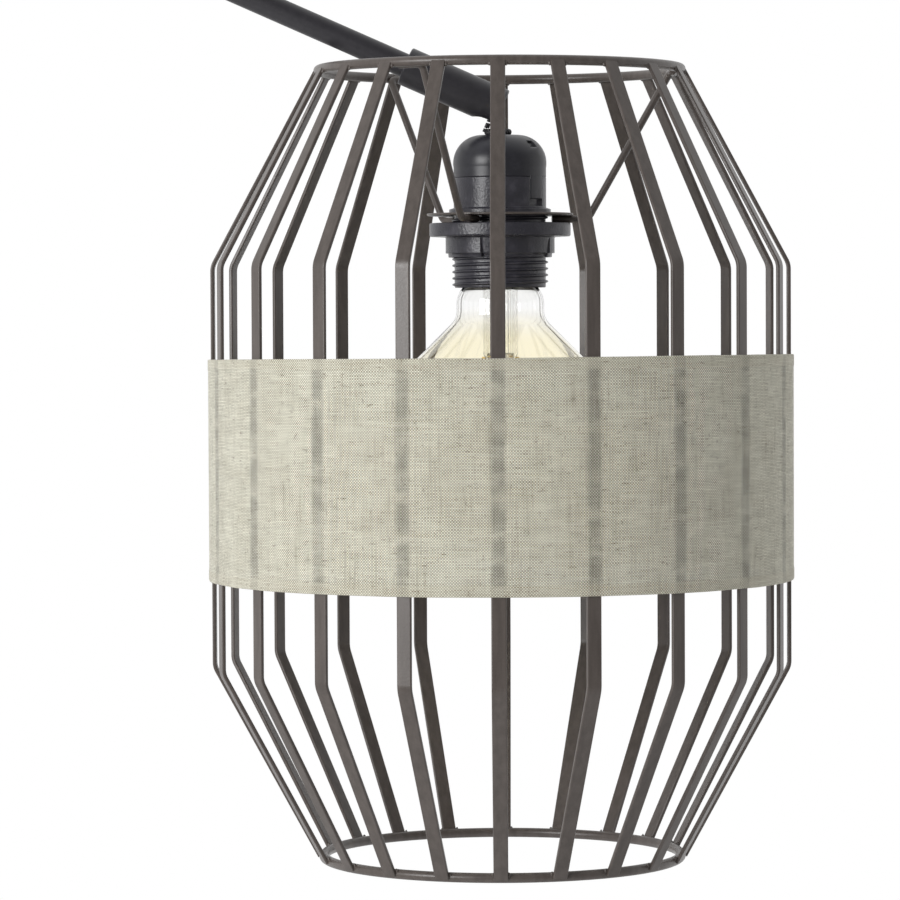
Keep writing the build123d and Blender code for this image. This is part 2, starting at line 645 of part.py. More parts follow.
# Bulb: screw cap, insulator with its tip, globe, stem and filaments
CAP_TOP = 62.6
CAP_BOTTOM = 86.4
CAP_CREST_R = 13.0
CAP_ROOT_R = 12.2
CAP_WALL = 1.4
CAP_PITCH = 3.6
CAP_TURNS = 5
CAP_THREAD_TOP = CAP_TOP + 4.6
TIP_R = 3.2
INSULATOR_R = 5.0
INSULATOR_TOP = CAP_TOP + 1.8
SHELL_TOP_R = 9.5
LINING_R = 9.0
LINING_TOP = INSULATOR_TOP + CAP_WALL
LINING_T = 0.8
cap_thread = []
for turn in range(CAP_TURNS):
    crest = CAP_THREAD_TOP + (turn + 0.5) * CAP_PITCH
    cap_thread += [(CAP_CREST_R, -crest), (CAP_ROOT_R, -crest - CAP_PITCH / 2)]
save(turned(SHADE_SIDE, SHADE_AXIS, [
    (INSULATOR_R, -INSULATOR_TOP), (SHELL_TOP_R, -INSULATOR_TOP), (CAP_ROOT_R, -CAP_THREAD_TOP),
    *cap_thread,
    (CAP_CREST_R, -CAP_BOTTOM), (CAP_CREST_R - CAP_WALL, -CAP_BOTTOM),
    (CAP_CREST_R - CAP_WALL, -CAP_THREAD_TOP - LINING_T), (LINING_R, -LINING_TOP),
    (INSULATOR_R, -LINING_TOP),
]), "bulb_cap")
save(turned(SHADE_SIDE, SHADE_AXIS, [
    (0, -CAP_TOP), (TIP_R, -CAP_TOP), (INSULATOR_R, -INSULATOR_TOP), (INSULATOR_R, -LINING_TOP),
    (LINING_R, -LINING_TOP), (LINING_R, -LINING_TOP - LINING_T), (0, -LINING_TOP - LINING_T),
]), "cap_insulator")

NECK_R = 17.9
NECK_DEPTH = 92.0
NECK_TAPER = 2.6
NECK_IN_CAP = 2.0
SHOULDER_R = 23.4
diagonal = cos(radians(45.0))


def globe(inset):
    """The solid inside the globe's surface, drawn in from it by an even thickness."""
    ball = BULB_R - inset
    flare = SHOULDER_R + inset
    flare_x = NECK_R + SHOULDER_R
    mouth_r = CAP_CREST_R - CAP_WALL - SEAT_GAP - inset
    mouth = CAP_BOTTOM - NECK_IN_CAP + 2 * inset
    with BuildPart() as solid:
        with BuildSketch(SHADE_SIDE):
            with BuildLine():
                CenterArc((0, -BULB_CENTRE), ball, -90, 135)
                Line((ball * diagonal, -BULB_CENTRE + ball * diagonal),
                     (flare_x - flare * diagonal, -NECK_DEPTH - flare * diagonal))
                CenterArc((flare_x, -NECK_DEPTH), flare, 225, -45)
                Polyline((NECK_R - inset, -NECK_DEPTH), (mouth_r, -mouth - NECK_TAPER),
                         (mouth_r, -mouth), (0, -mouth), (0, -BULB_CENTRE - ball))
            make_face()
        revolve(axis=SHADE_AXIS)
    return solid.part


with BuildPart() as bulb_glass:
    add(globe(0.0))
    add(globe(GLASS_T), mode=Mode.SUBTRACT)
save(bulb_glass.part, "bulb_glass")

STEM_TOP = 87.6
STEM_FLARE_R = 8.5
STEM_FLARE_H = 13.0
STEM_R = 3.4
STEM_BOTTOM = 122.0
SPINE_R = 1.5
SPINE_L = 34.0
SPINE_TIP = 2.5
with BuildPart() as glass_stem:
    add(turned(SHADE_SIDE, SHADE_AXIS, [
        (0, -STEM_TOP), (STEM_FLARE_R, -STEM_TOP), (STEM_R, -STEM_TOP - STEM_FLARE_H),
        (STEM_R, -STEM_BOTTOM), (SPINE_R, -STEM_BOTTOM - SPINE_R), (SPINE_R, -STEM_BOTTOM - SPINE_L),
        (0, -STEM_BOTTOM - SPINE_L - SPINE_TIP),
    ]))
save(glass_stem.part, "glass_stem")

FILAMENT_COUNT = 4
FILAMENT_R = 1.0
FILAMENT_TOP = (9.5, -STEM_BOTTOM + 4.0)
FILAMENT_FOOT = (13.5, -STEM_BOTTOM - 36.0)
with BuildPart() as filaments:
    for number in range(FILAMENT_COUNT):
        turn = radians((number + 0.5) * 360.0 / FILAMENT_COUNT)
        rod_side = Plane(origin=SHADE_SIDE.origin, x_dir=(cos(turn), sin(turn), 0),
                         z_dir=(sin(turn), -cos(turn), 0))
        with BuildLine(rod_side) as rod_path:
            Line(FILAMENT_TOP, FILAMENT_FOOT)
        with BuildSketch(Plane(origin=rod_path.line @ 0, z_dir=rod_path.line % 0)):
            Circle(FILAMENT_R)
        sweep(path=rod_path.line)
save(filaments.part, "filaments")

print("shade axis x", round(SHADE_X, 3), "top ring z", round(SHADE_Z, 3))
print("sleeve end", round(SLEEVE_END_X, 3), round(SLEEVE_END_Z, 3))
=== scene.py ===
# %% [markdown]
# A caged lampshade hangs from the end of a bowed arm, with a linen band round its middle. The
# rigid pieces were drawn to size before this script starts, so it first loads them as a frame.
# Everything made below is in metres in that same frame and only has to look right.

# %% Load the frame
import json
import random
from math import acos, asin, cos, pi, radians, sin, sqrt, tan

import bmesh
import bpy
from mathutils import Matrix, Vector
from mathutils.noise import noise as lump

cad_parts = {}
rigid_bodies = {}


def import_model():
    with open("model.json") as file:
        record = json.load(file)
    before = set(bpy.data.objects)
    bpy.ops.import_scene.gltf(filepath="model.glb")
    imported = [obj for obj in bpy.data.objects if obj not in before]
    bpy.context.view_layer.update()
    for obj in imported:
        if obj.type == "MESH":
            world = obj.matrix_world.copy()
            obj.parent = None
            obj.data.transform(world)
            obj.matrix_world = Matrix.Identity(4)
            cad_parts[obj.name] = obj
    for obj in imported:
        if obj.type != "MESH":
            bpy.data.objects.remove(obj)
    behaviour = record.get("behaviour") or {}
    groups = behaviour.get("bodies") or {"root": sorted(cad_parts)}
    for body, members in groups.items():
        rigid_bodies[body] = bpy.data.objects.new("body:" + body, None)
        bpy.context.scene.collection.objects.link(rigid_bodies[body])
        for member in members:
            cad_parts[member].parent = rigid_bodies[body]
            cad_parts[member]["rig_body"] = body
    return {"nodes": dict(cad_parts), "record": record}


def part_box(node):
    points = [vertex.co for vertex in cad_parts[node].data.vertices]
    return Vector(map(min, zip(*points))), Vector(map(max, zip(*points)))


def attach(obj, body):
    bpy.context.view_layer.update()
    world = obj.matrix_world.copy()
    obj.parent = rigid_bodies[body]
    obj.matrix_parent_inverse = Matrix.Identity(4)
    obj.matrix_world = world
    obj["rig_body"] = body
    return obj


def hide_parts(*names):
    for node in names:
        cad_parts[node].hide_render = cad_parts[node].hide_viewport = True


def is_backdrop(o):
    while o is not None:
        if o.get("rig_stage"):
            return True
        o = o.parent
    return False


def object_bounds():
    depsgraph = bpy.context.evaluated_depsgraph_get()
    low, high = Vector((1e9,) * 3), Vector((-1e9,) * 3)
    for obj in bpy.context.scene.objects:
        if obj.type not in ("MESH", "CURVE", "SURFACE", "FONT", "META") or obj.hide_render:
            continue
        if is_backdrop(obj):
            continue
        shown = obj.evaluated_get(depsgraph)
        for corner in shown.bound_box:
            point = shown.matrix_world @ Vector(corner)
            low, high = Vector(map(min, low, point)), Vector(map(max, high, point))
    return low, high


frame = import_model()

solid_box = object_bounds()

# %% [markdown]
# Nearly everything on the shade is round about one upright axis, and every height on it is
# easiest to say as a depth below the top wire ring. Both come from the ring's own box in the
# frame. The pole has its own axis, the frame's Z.

# %% Where things stand
MM = 0.001
ring_low, ring_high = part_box("top_ring")
AXIS_X = (ring_low.x + ring_high.x) / 2
RING_Z = (ring_low.z + ring_high.z) / 2


def spot(radius, azimuth, depth):
    """A point round the shade: azimuth in radians from the front towards +X."""
    return Vector((AXIS_X + radius * sin(azimuth), -radius * cos(azimuth), RING_Z - depth))


def post(radius, azimuth, height):
    """A point round the pole, at a height above the floor."""
    return Vector((radius * sin(azimuth), -radius * cos(azimuth), height))


def add(name, data):
    """A new object in the scene."""
    made = bpy.data.objects.new(name, data)
    bpy.context.scene.collection.objects.link(made)
    return made


print("shade axis at x", round(AXIS_X, 4), "and ring at z", round(RING_Z, 4))

# %% [markdown]
# The picture was taken from a little to the right of the shade and a little below its top, with
# a long lens that keeps the bars nearly parallel. A camera is easiest to aim in three turns:
# yaw about the upright, pitch about its own side, and a slight roll in its own picture.

# %% Camera
CAMERA_AWAY = 1.755
CAMERA_RIGHT = 0.015
CAMERA_BELOW_RING = 0.0975
FOCAL_PIXELS = 4266.0
PICTURE_PIXELS = 900.0
SENSOR_MM = 36.0
YAW_LEFT = radians(1.174)
PITCH_DOWN = radians(1.906)
ROLL = radians(-0.25)

lens = bpy.data.cameras.new("camera")
lens.sensor_width = SENSOR_MM
lens.lens = SENSOR_MM * FOCAL_PIXELS / PICTURE_PIXELS
lens.clip_start = 0.05
camera = add("camera", lens)
aim = Matrix.Rotation(YAW_LEFT, 4, "Z") @ Matrix.Rotation(pi / 2 - PITCH_DOWN, 4, "X")
place = Matrix.Translation((AXIS_X + CAMERA_RIGHT, -CAMERA_AWAY, RING_Z - CAMERA_BELOW_RING))
camera.matrix_world = place @ aim @ Matrix.Rotation(ROLL, 4, "Z")
bpy.context.scene.camera = camera
print("lens", round(lens.lens, 1), "mm")

# %% [markdown]
# A finish is reckoned out of coordinates and noise. Written as nodes that reckoning is long, so
# one small class stands for a socket and lets plain arithmetic build the Math nodes. Any other
# node comes from its one method.


# %% Sockets that can be reckoned with
class Wire:
    """One output socket of a shader node, which arithmetic can be done with."""

    def __init__(self, socket):
        self.socket = socket

    def node(self, kind, settings=None, sockets=None, output=0):
        """Any node in the same tree: its settings first, then values or links for its sockets."""
        tree = self.socket.id_data
        made = tree.nodes.new(kind)
        for name, value in (settings or {}).items():
            setattr(made, name, value)
        for name, value in (sockets or {}).items():
            if isinstance(value, Wire):
                tree.links.new(value.socket, made.inputs[name])
            else:
                made.inputs[name].default_value = value
        return Wire(made.outputs[output])

    def math(self, operation, *values):
        return self.node("ShaderNodeMath", {"operation": operation}, dict(enumerate(values)))

    def __add__(self, other):
        return self.math("ADD", self, other)

    def __radd__(self, other):
        return self.math("ADD", other, self)

    def __sub__(self, other):
        return self.math("SUBTRACT", self, other)

    def __rsub__(self, other):
        return self.math("SUBTRACT", other, self)

    def __mul__(self, other):
        return self.math("MULTIPLY", self, other)

    def __rmul__(self, other):
        return self.math("MULTIPLY", other, self)

    def __truediv__(self, other):
        return self.math("DIVIDE", self, other)


# %% [markdown]
# Helpers say what most finishes need: noise with a size in millimetres, a soft step from 0 to 1,
# a blend of two colours and a bump. Object coordinates are used throughout, because a piece's
# own coordinates are its real place and stay on it when it moves.


# %% Noise, steps and blends
def noise(start, size_mm, detail=2.0, stretch=(1, 1, 1)):
    """Noise from 0 to 1 whose blots are about size_mm across, drawn out where stretch is large."""
    scaled = start.node("ShaderNodeVectorMath", {"operation": "MULTIPLY"},
                        {0: start, 1: tuple(1.0 / (size_mm * MM * s) for s in stretch)})
    return start.node("ShaderNodeTexNoise", {}, {"Vector": scaled, "Scale": 1.0, "Detail": detail})


def step(value, low, high):
    """A smooth step: 0 below low and 1 above high."""
    return value.node("ShaderNodeMapRange", {"interpolation_type": "SMOOTHSTEP"},
                      {"Value": value, "From Min": low, "From Max": high})


def blend(factor, first, second):
    """A colour between two others."""
    sockets = {0: factor}
    for socket, colour in ((6, first), (7, second)):
        sockets[socket] = colour if isinstance(colour, Wire) else (*colour, 1.0)
    return factor.node("ShaderNodeMix", {"data_type": "RGBA"}, sockets, output=2)


FINISHES = {}


def finish(name, recipe, *values, **constants):
    """A material: recipe(coordinates, *values) gives varying sockets, constants are set once."""
    material = FINISHES[name] = bpy.data.materials.new(name)
    material.use_nodes = True
    tree = material.node_tree
    shader = tree.nodes["Principled BSDF"]
    for socket, value in constants.items():
        shader.inputs[socket.replace("_", " ")].default_value = value
    coordinates = tree.nodes.new("ShaderNodeTexCoord")
    for socket, wire in recipe(Wire(coordinates.outputs["Object"]), *values).items():
        tree.links.new(wire.socket, shader.inputs[socket])
    print("finish", name)
    return material


def bump(height, millimetres):
    """The normals of a surface raised by height, a value from 0 to 1, times some millimetres."""
    return height.node("ShaderNodeBump", {}, {"Height": height, "Distance": millimetres * MM,
                                              "Strength": 1.0})


# %% [markdown]
# The cage is steel with a satin powder coat, dark brown-grey. Powder melts into a skin with a
# faint orange peel, so fine noise raises it by a few hundredths of a millimetre and breaks up
# the gloss, while a broader cloud shifts the colour. The arm's coat is smoother and blue-black.


# %% Powder coats
def coat(here, dark, light, rough_low, rough_high, peel_mm, drawn_out=1.0):
    cloud = step(noise(here, 2.6, 4.0, stretch=(1, 1, drawn_out)), 0.25, 0.75)
    peel = noise(here, 0.7)
    return {
        "Base Color": blend(cloud * 0.6 + peel * 0.4, dark, light),
        "Roughness": peel * (rough_high - rough_low) + rough_low,
        "Normal": bump(peel, peel_mm),
    }


finish("cage_paint", coat, (0.058, 0.047, 0.041), (0.100, 0.083, 0.074), 0.27, 0.44, 0.03, 8.0)
finish("pole_paint", coat, (0.016, 0.015, 0.019), (0.026, 0.024, 0.029), 0.32, 0.44, 0.015)

# %% [markdown]
# The lampholder is black thermoplastic from a mould. Its dome is polished to a satin, while the
# shell and the ring below have the spark-eroded grain that hides finger marks. One recipe makes
# both, with a coarser and deeper grain for the second.


# %% Moulded plastics
def plastic(here, colour, paler, rough, grain_mm, grain_size):
    wear = noise(here, 6.0, 4.0)
    return {
        "Base Color": blend(step(wear, 0.45, 0.75), colour, paler),
        "Roughness": wear * 0.16 + rough,
        "Normal": bump(noise(here, grain_size, 3.0), grain_mm),
    }


finish("dome_plastic", plastic, (0.018, 0.018, 0.024), (0.028, 0.028, 0.036), 0.26, 0.008, 0.5)
finish("shell_plastic", plastic, (0.030, 0.029, 0.038), (0.062, 0.060, 0.074), 0.22, 0.16, 1.0)
finish("grip_plastic", plastic, (0.55, 0.53, 0.48), (0.66, 0.64, 0.60), 0.42, 0.02, 0.5)
finish("flex", plastic, (0.020, 0.020, 0.023), (0.045, 0.045, 0.050), 0.40, 0.02, 0.6)
finish("cap_glass", plastic, (0.01, 0.01, 0.01), (0.02, 0.02, 0.02), 0.12, 0.004, 0.5)

# %% [markdown]
# Zinc, brass, iron and felt are hidden or nearly so. They still get their own finishes: drawn
# metal has fine scratches along one way, cast iron is pitted, and felt is a mat of fibres.


# %% Metals and felt
def metal(here, dark, light, rough):
    scratches = noise(here, 0.5, 2.0, stretch=(1, 1, 14))
    return {
        "Base Color": blend(noise(here, 7.0, 3.0), dark, light),
        "Roughness": scratches * 0.2 + rough,
        "Normal": bump(scratches, 0.004),
    }


def pitted(here, dark, light, size_mm, height_mm):
    pits = noise(here, size_mm, 5.0)
    return {"Base Color": blend(pits, dark, light), "Normal": bump(pits, height_mm)}


finish("zinc", metal, (0.46, 0.46, 0.47), (0.62, 0.62, 0.63), 0.26, Metallic=1.0)
finish("brass", metal, (0.60, 0.43, 0.17), (0.76, 0.58, 0.27), 0.22, Metallic=1.0)
finish("cap_metal", metal, (0.55, 0.54, 0.51), (0.68, 0.67, 0.63), 0.24, Metallic=1.0)
finish("iron", pitted, (0.05, 0.05, 0.05), (0.13, 0.13, 0.13), 1.4, 0.25, Roughness=0.75)
finish("felt", pitted, (0.02, 0.02, 0.022), (0.05, 0.05, 0.055), 0.5, 0.35, Roughness=0.95)

# %% [markdown]
# The linen is a plain weave: one thread over, one under, both ways. Its look comes from uneven
# yarns, so each thread has its own thickness and tone, and a slub is a stretch where a thread
# swells. Each thread is also painted darker towards its edges, a painted shade between the
# rounded threads. Round the band, distance is the azimuth times the radius, so threads run true.
# The flat bars touch the back of the cloth and stop the light there, and that shadow is painted
# into the colour as a soft grey stripe at each, broken where the weave is dense. The folded hems
# are two layers and let less light through, and they are painted a little darker, a painted shade.

# %% Linen values
BAR_COUNT = 20
BAR_W = 5.9 * MM
BAND_TOP = 116.8 * MM
BAND_H = 92.0 * MM
LINEN_R = 120.3 * MM
THREAD = 0.58 * MM
THREAD_WANDER = 1.4 * THREAD
SHADE_RUN = 22.0 * MM
SHADE_APART = 5.317
HEM_H = 4.6 * MM
SEAM_AZIMUTH = radians(162.0)
SEAM_W = 9.0 * MM
LINEN_DARK = (0.215, 0.172, 0.104)
LINEN_LIGHT = (0.965, 0.958, 0.815)
LINEN_FLECK = (0.130, 0.085, 0.045)
# The colour of the painted shadow that each bar leaves on the cloth.
BAR_SHADOW_TINT = (0.118, 0.105, 0.084)


# %% Linen
def weave(here):
    tree_node = here.node("ShaderNodeSeparateXYZ", {}, {0: here}).socket.node
    east, north, up = (Wire(tree_node.outputs[name]) for name in "XYZ")
    azimuth = here.math("ARCTAN2", east - AXIS_X, -1.0 * north)
    along = azimuth * LINEN_R
    flat = here.node("ShaderNodeCombineXYZ", {}, {"X": along, "Y": up})

    def yarns(position, other):
        """For one way of the cloth: thread number, rounding across a thread, and its shade."""
        count = (position + noise(here, 16.0, 2.0) * THREAD_WANDER) / THREAD
        number = count.math("FLOOR", count)
        across = count.math("SINE", (count - number) * pi)
        seed = here.node("ShaderNodeCombineXYZ", {},
                         {"X": number * SHADE_APART, "Y": other / SHADE_RUN})
        shade = here.node("ShaderNodeTexNoise", {}, {"Vector": seed, "Scale": 1.0, "Detail": 2.0})
        return number, across, shade

    warp_number, warp_across, warp_shade = yarns(along, up)
    weft_number, weft_across, weft_shade = yarns(up, along)
    over = here.math("FLOORED_MODULO", warp_number + weft_number, 2.0)
    under = 1.0 - over
    relief = over * warp_across * (warp_shade + 0.5) + under * weft_across * (weft_shade + 0.5)
    tone = over * warp_shade + under * (weft_shade * 0.5 + 0.25)
    cloudy = noise(flat, 14.0, 3.0, stretch=(1, 1.6, 1))
    # The relief term paints each thread darker towards its edges, a painted shade between the
    # rounded threads; the other terms are the yarns' own tone.
    thread_tone_and_shade = step(over * 0.66 + relief * 0.45 + tone * 1.3 + cloudy * 0.4, 0.72, 2.00)
    cloth = blend(thread_tone_and_shade, LINEN_DARK, LINEN_LIGHT)

    flecks = step(noise(flat, 1.1, 3.0, stretch=(1, 3, 1)), 0.63, 0.72)
    flecks_across = step(noise(flat, 1.1, 3.0, stretch=(4, 1, 1)), 0.62, 0.71)
    slubs = step(noise(flat, 1.0, 4.0, stretch=(5, 0.7, 1)), 0.58, 0.70) * 0.6
    dark_spots = (flecks + flecks_across + slubs) * (0.85 - 0.5 * over)
    flecked = blend(dark_spots, cloth, LINEN_FLECK)

    # Painted shadow: a soft grey stripe is painted into the colour behind each bar, where the bar
    # stops the light through the cloth.
    spacing = 2 * pi / BAR_COUNT
    turned = here.math("FLOORED_MODULO", azimuth + spacing / 2, spacing)
    off_bar = here.math("ABSOLUTE", turned - spacing / 2) * LINEN_R
    wobble = noise(flat, 20.0, 2.0) * (1.2 * MM)
    bar_shadow = 1.0 - step(off_bar + wobble, BAR_W / 2 - 0.9 * MM, BAR_W / 2 + 1.5 * MM)
    patchy = step(noise(flat, 7.0, 3.0, stretch=(3, 1, 1)), 0.25, 0.62)
    edge = RING_Z - BAND_TOP - up
    from_hem = here.math("MINIMUM", edge, BAND_H - edge)
    from_seam = here.math("ABSOLUTE", azimuth - SEAM_AZIMUTH) * LINEN_R
    open_cloth = (step(from_hem, HEM_H - 0.6 * MM, HEM_H + 0.4 * MM)
                  * step(from_seam, SEAM_W / 2, SEAM_W / 2 + MM))
    bar_shadow_amount = bar_shadow * (0.14 + 0.46 * patchy) * (1.15 - 0.5 * over) * (0.55 + 0.45 * open_cloth)
    with_bar_shadows = blend(bar_shadow_amount, flecked, BAR_SHADOW_TINT)
    gap = (1.0 - warp_across) * (1.0 - weft_across)
    airy = step(noise(flat, 5.0, 3.0, stretch=(2, 1, 1)), 0.30, 0.70) * 0.5 + 0.5
    let_through = (0.13 + step(gap, 0.05, 0.45) * 0.60) * airy
    # Hems and seam are two layers: besides letting less light through, their colour is painted a
    # little darker, a painted shade.
    return {
        "Base Color": blend((1.0 - open_cloth) * 0.18, with_bar_shadows, LINEN_DARK),
        "Roughness": 0.92 - relief * 0.1,
        "Alpha": 1.0 - let_through * (0.25 + 0.75 * open_cloth),
        "Normal": bump(relief, 0.16),
    }


finish("linen", weave, Sheen_Weight=0.25, Sheen_Roughness=0.5, Specular_IOR_Level=0.25)
finish("liner", pitted, (0.62, 0.60, 0.54), (0.70, 0.68, 0.62), 3.0, 0.02,
       Roughness=0.5, Alpha=0.3)

# %% [markdown]
# The bulb is blown glass with a thin amber coat that fades out at the neck. Clear glass in a
# bright room is seen mostly by its dark edges, which refraction gives for nothing as long as
# the wall has a real thickness. Only the tint changes over it, with the depth below the ring.

# %% Glass
AMBER_FROM = 96.0 * MM
AMBER_FULL = 113.0 * MM
BARE_GLASS = (0.99, 0.99, 0.985)
AMBER = (0.998, 0.962, 0.83)


def amber(here):
    depth = RING_Z - here.node("ShaderNodeSeparateXYZ", {}, {0: here}, output="Z")
    return {"Base Color": blend(step(depth, AMBER_FROM, AMBER_FULL), BARE_GLASS, AMBER)}


def clear(here, dull, bright):
    return {"Base Color": blend(noise(here, 8.0), dull, bright)}


finish("amber_glass", amber, Transmission_Weight=1.0, Roughness=0.0, IOR=1.44)
finish("clear_glass", clear, (0.95, 0.95, 0.93), (0.98, 0.98, 0.97),
       Transmission_Weight=1.0, Roughness=0.02, IOR=1.48)
finish("filament", pitted, (0.80, 0.50, 0.10), (0.90, 0.66, 0.20), 1.0, 0.05, Roughness=0.35)

# %% [markdown]
# Pieces that are hidden, or whose drawn shape is already right, keep it and only take a finish.
# Each finish has the name of a material slot in the record, but for the lampholder's two.

# %% Finishes on the drawn pieces
FINISHES["holder_plastic"] = FINISHES["shell_plastic"]
SLOT_OF = {row["node"]: row["material_slot"] for row in frame["record"]["subparts"]}
for node, slot in SLOT_OF.items():
    drawn = frame["nodes"][node].data.materials
    drawn.clear()
    drawn.append(FINISHES[slot])
print("drawn pieces finished", len(SLOT_OF))

# %% [markdown]
# Made pieces all end the same way: the mesh becomes an object, takes its finish, and stands for
# one drawn piece, whose body it rides on and whose slot it has. Weighted normals keep broad
# faces flat while the small rounded edges beside them catch the light.


# %% From a mesh to a finished piece
def piece(name, bm, replaced, material=None, hollow=False):
    """Turn a bmesh into a piece for a drawn one; a hollow one has its faces set right already."""
    body, slot = frame["nodes"][replaced]["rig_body"], SLOT_OF[replaced]
    mesh = bpy.data.meshes.new(name)
    if not hollow:
        bmesh.ops.recalc_face_normals(bm, faces=bm.faces[:])
    bm.to_mesh(mesh)
    bm.free()
    mesh.materials.append(FINISHES[material or slot])
    for face in mesh.polygons:
        face.use_smooth = True
    made = add(name, mesh)
    weighted = made.modifiers.new("weighted normals", "WEIGHTED_NORMAL")
    weighted.keep_sharp = True
    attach(made, body)
    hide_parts(replaced)
    print(name, "on", body, "with", len(mesh.polygons), "faces")
    return made


# %% [markdown]
# Four ways of building cover every piece. A path or an outline is written as its corners, each
# with its own rounding. An outline is turned about an upright axis, a round section is swept
# along a path, and rows of points that match one to one are bridged.


# %% Rounded paths and arcs
ROUND_STEPS = 5


def rounded(corners, steps=ROUND_STEPS):
    """A path through corners, each a point and the radius of its arc, or 0 for a sharp one."""
    path = []
    for i, (point, radius) in enumerate(corners):
        corner = Vector(point)
        if radius == 0:
            path.append(corner)
            continue
        back = (Vector(corners[i - 1][0]) - corner).normalized()
        ahead = (Vector(corners[(i + 1) % len(corners)][0]) - corner).normalized()
        half = back.angle(ahead) / 2
        centre = corner + (back + ahead).normalized() * radius / sin(half)
        first = (corner + back * radius / tan(half) - centre).normalized()
        last = (corner + ahead * radius / tan(half) - centre).normalized()
        path += [centre + first.slerp(last, k / steps).normalized() * radius
                 for k in range(steps + 1)]
    return path


def outline(*corners):
    """A closed outline in metres from (radius, depth, rounding) corners in millimetres."""
    return rounded([((r * MM, depth * MM, 0.0), turn_r * MM) for r, depth, turn_r in corners])


def arc(centre, radius, start, end, steps):
    """Sharp corners for outline() along an arc; degrees from straight up, clockwise."""
    angles = [radians(start + (end - start) * k / steps) for k in range(steps + 1)]
    return [(centre[0] + radius * sin(a), centre[1] - radius * cos(a), 0) for a in angles]


# %% Turned pieces
TURN_STEPS = 120
EDGE_HALF = 0.006


def apart(first, second):
    """The angle between two azimuths, the short way round."""
    return abs((first - second + pi) % (2 * pi) - pi)


def around(*edges, steps=TURN_STEPS):
    """Evenly spread azimuths, with a close pair instead wherever an edge has to be crisp."""
    even = [2 * pi * k / steps for k in range(steps)]
    kept = [a for a in even if all(apart(a, edge) > 2.5 * EDGE_HALF for edge in edges)]
    pairs = [(edge + side) % (2 * pi) for edge in edges for side in (-EDGE_HALF, EDGE_HALF)]
    return sorted(kept + pairs)


def turn(points, place_at=spot, azimuths=None, shape=None):
    """Turn a closed outline about an upright axis; shape may move a point in or out."""
    azimuths = azimuths or around()
    bm = bmesh.new()
    rings = []
    for radius, height, _ in points:
        if radius < 0.01 * MM:
            rings.append([bm.verts.new(place_at(0.0, 0.0, height))])
            continue
        shaped = [(shape(radius, a, height) if shape else radius, a) for a in azimuths]
        rings.append([bm.verts.new(place_at(r, a, height)) for r, a in shaped])
    for first, second in zip(rings, rings[1:] + rings[:1]):
        for i in range(len(azimuths)):
            j = (i + 1) % len(azimuths)
            corners = [ring[k % len(ring)] for ring, k in
                       ((first, i), (first, j), (second, j), (second, i))]
            face = list(dict.fromkeys(corners))
            if len(face) > 2:
                bm.faces.new(face)
    return bm


# %% Bridged rows and swept rods
def bridge(bm, rows, closed_ends=False, loop=False):
    """Skin a list of closed rows of points that match one to one."""
    made = [[bm.verts.new(p) for p in row] for row in rows]
    for first, second in list(zip(made, made[1:])) + ([(made[-1], made[0])] if loop else []):
        for i in range(len(first)):
            j = (i + 1) % len(first)
            bm.faces.new((first[i], first[j], second[j], second[i]))
    if closed_ends:
        bm.faces.new(made[0])
        bm.faces.new(made[-1][::-1])


def heading(path, i):
    """The direction of a path at one of its points, from the points beside it."""
    return path[min(i + 1, len(path) - 1)] - path[max(i - 1, 0)]


def rod(bm, path, radius, bore=0.0, rounding=0.0, sides=20):
    """Sweep a round bar or tube along a path, with a rounding on its outer ends."""
    last = len(path) - 1
    headings = [heading(path, i).normalized() for i in range(len(path))]
    side = headings[0].orthogonal().normalized()
    sides_at = []
    for before, now in zip([headings[0]] + headings, headings):
        side = before.rotation_difference(now) @ side
        sides_at.append((side, now.cross(side)))

    def ring(i, size, shift=0.0):
        across, up = sides_at[i]
        middle = path[i] + headings[i] * shift
        return [middle + (across * cos(2 * pi * k / sides) + up * sin(2 * pi * k / sides)) * size
                for k in range(sides)]

    def end(i, turned):
        shift = rounding * (1 - cos(turned))
        return ring(i, radius - rounding * (1 - sin(turned)), -shift if i else shift)

    turns = [pi / 2 * k / ROUND_STEPS for k in range(ROUND_STEPS)] if rounding else []
    rows = [end(0, turned) for turned in turns]
    rows += [ring(i, radius, rounding * ((i == 0) - (i == last))) for i in range(len(path))]
    rows += [end(last, turned) for turned in turns[::-1]]
    if bore:
        rows += [ring(i, bore) for i in range(len(path))][::-1]
    bridge(bm, rows, closed_ends=not bore, loop=bool(bore))


# %% [markdown]
# A weld is a lumpy bead. Each one is a small ball drawn out along the joint, its surface pushed
# in and out by noise, and sunk halfway into the steel. They sit at both ends of every bar and
# along the spider's feet.


# %% Weld beads
def bead(bm, centre, along, length, size):
    """A lumpy bead at a point, drawn out along a direction."""
    along = along.normalized()
    across = along.orthogonal().normalized()
    axes = Matrix((along * length, across * size, along.cross(across) * size)).transposed()
    ball = bmesh.ops.create_icosphere(bm, subdivisions=2, radius=1.0)
    for vertex in ball["verts"]:
        swell = 1.0 + 0.22 * lump(vertex.co * 1.7 + centre * 900.0)
        vertex.co = centre + axes @ (vertex.co * swell)


# %% [markdown]
# Each cage bar is flat steel, 5.9 by 1.6 mm, bent twice. Rolled flat bar has rounded edges, and
# those edges are what shows as a thin light line down each bar. The section is swept along the
# bent line, with an arc at each bend, and its ends run into the two wire rings.

# %% Cage bars
BAR_T = 1.6 * MM
BAR_EDGE = 0.5 * MM
BAR_OUTER_R = 119.15 * MM
BAR_BEND_R = 8.0 * MM
UPPER_TAPER = 80.0 * MM
LOWER_TAPER = 78.0 * MM
CAGE_H = 323.0 * MM
BAR_TOP_R = 75.2 * MM
BAR_BOTTOM_R = 75.3 * MM
BAR_OVERRUN = 0.4 * MM


def bar_section():
    """The bar's section as (across, through) offsets, with rounded edges."""
    half_w, half_t = BAR_W / 2, BAR_T / 2
    corners = [(half_w, -half_t), (half_w, half_t), (-half_w, half_t), (-half_w, -half_t)]
    edges = rounded([((*corner, 0), BAR_EDGE) for corner in corners], steps=4)
    return [(point.x, point.y) for point in edges]


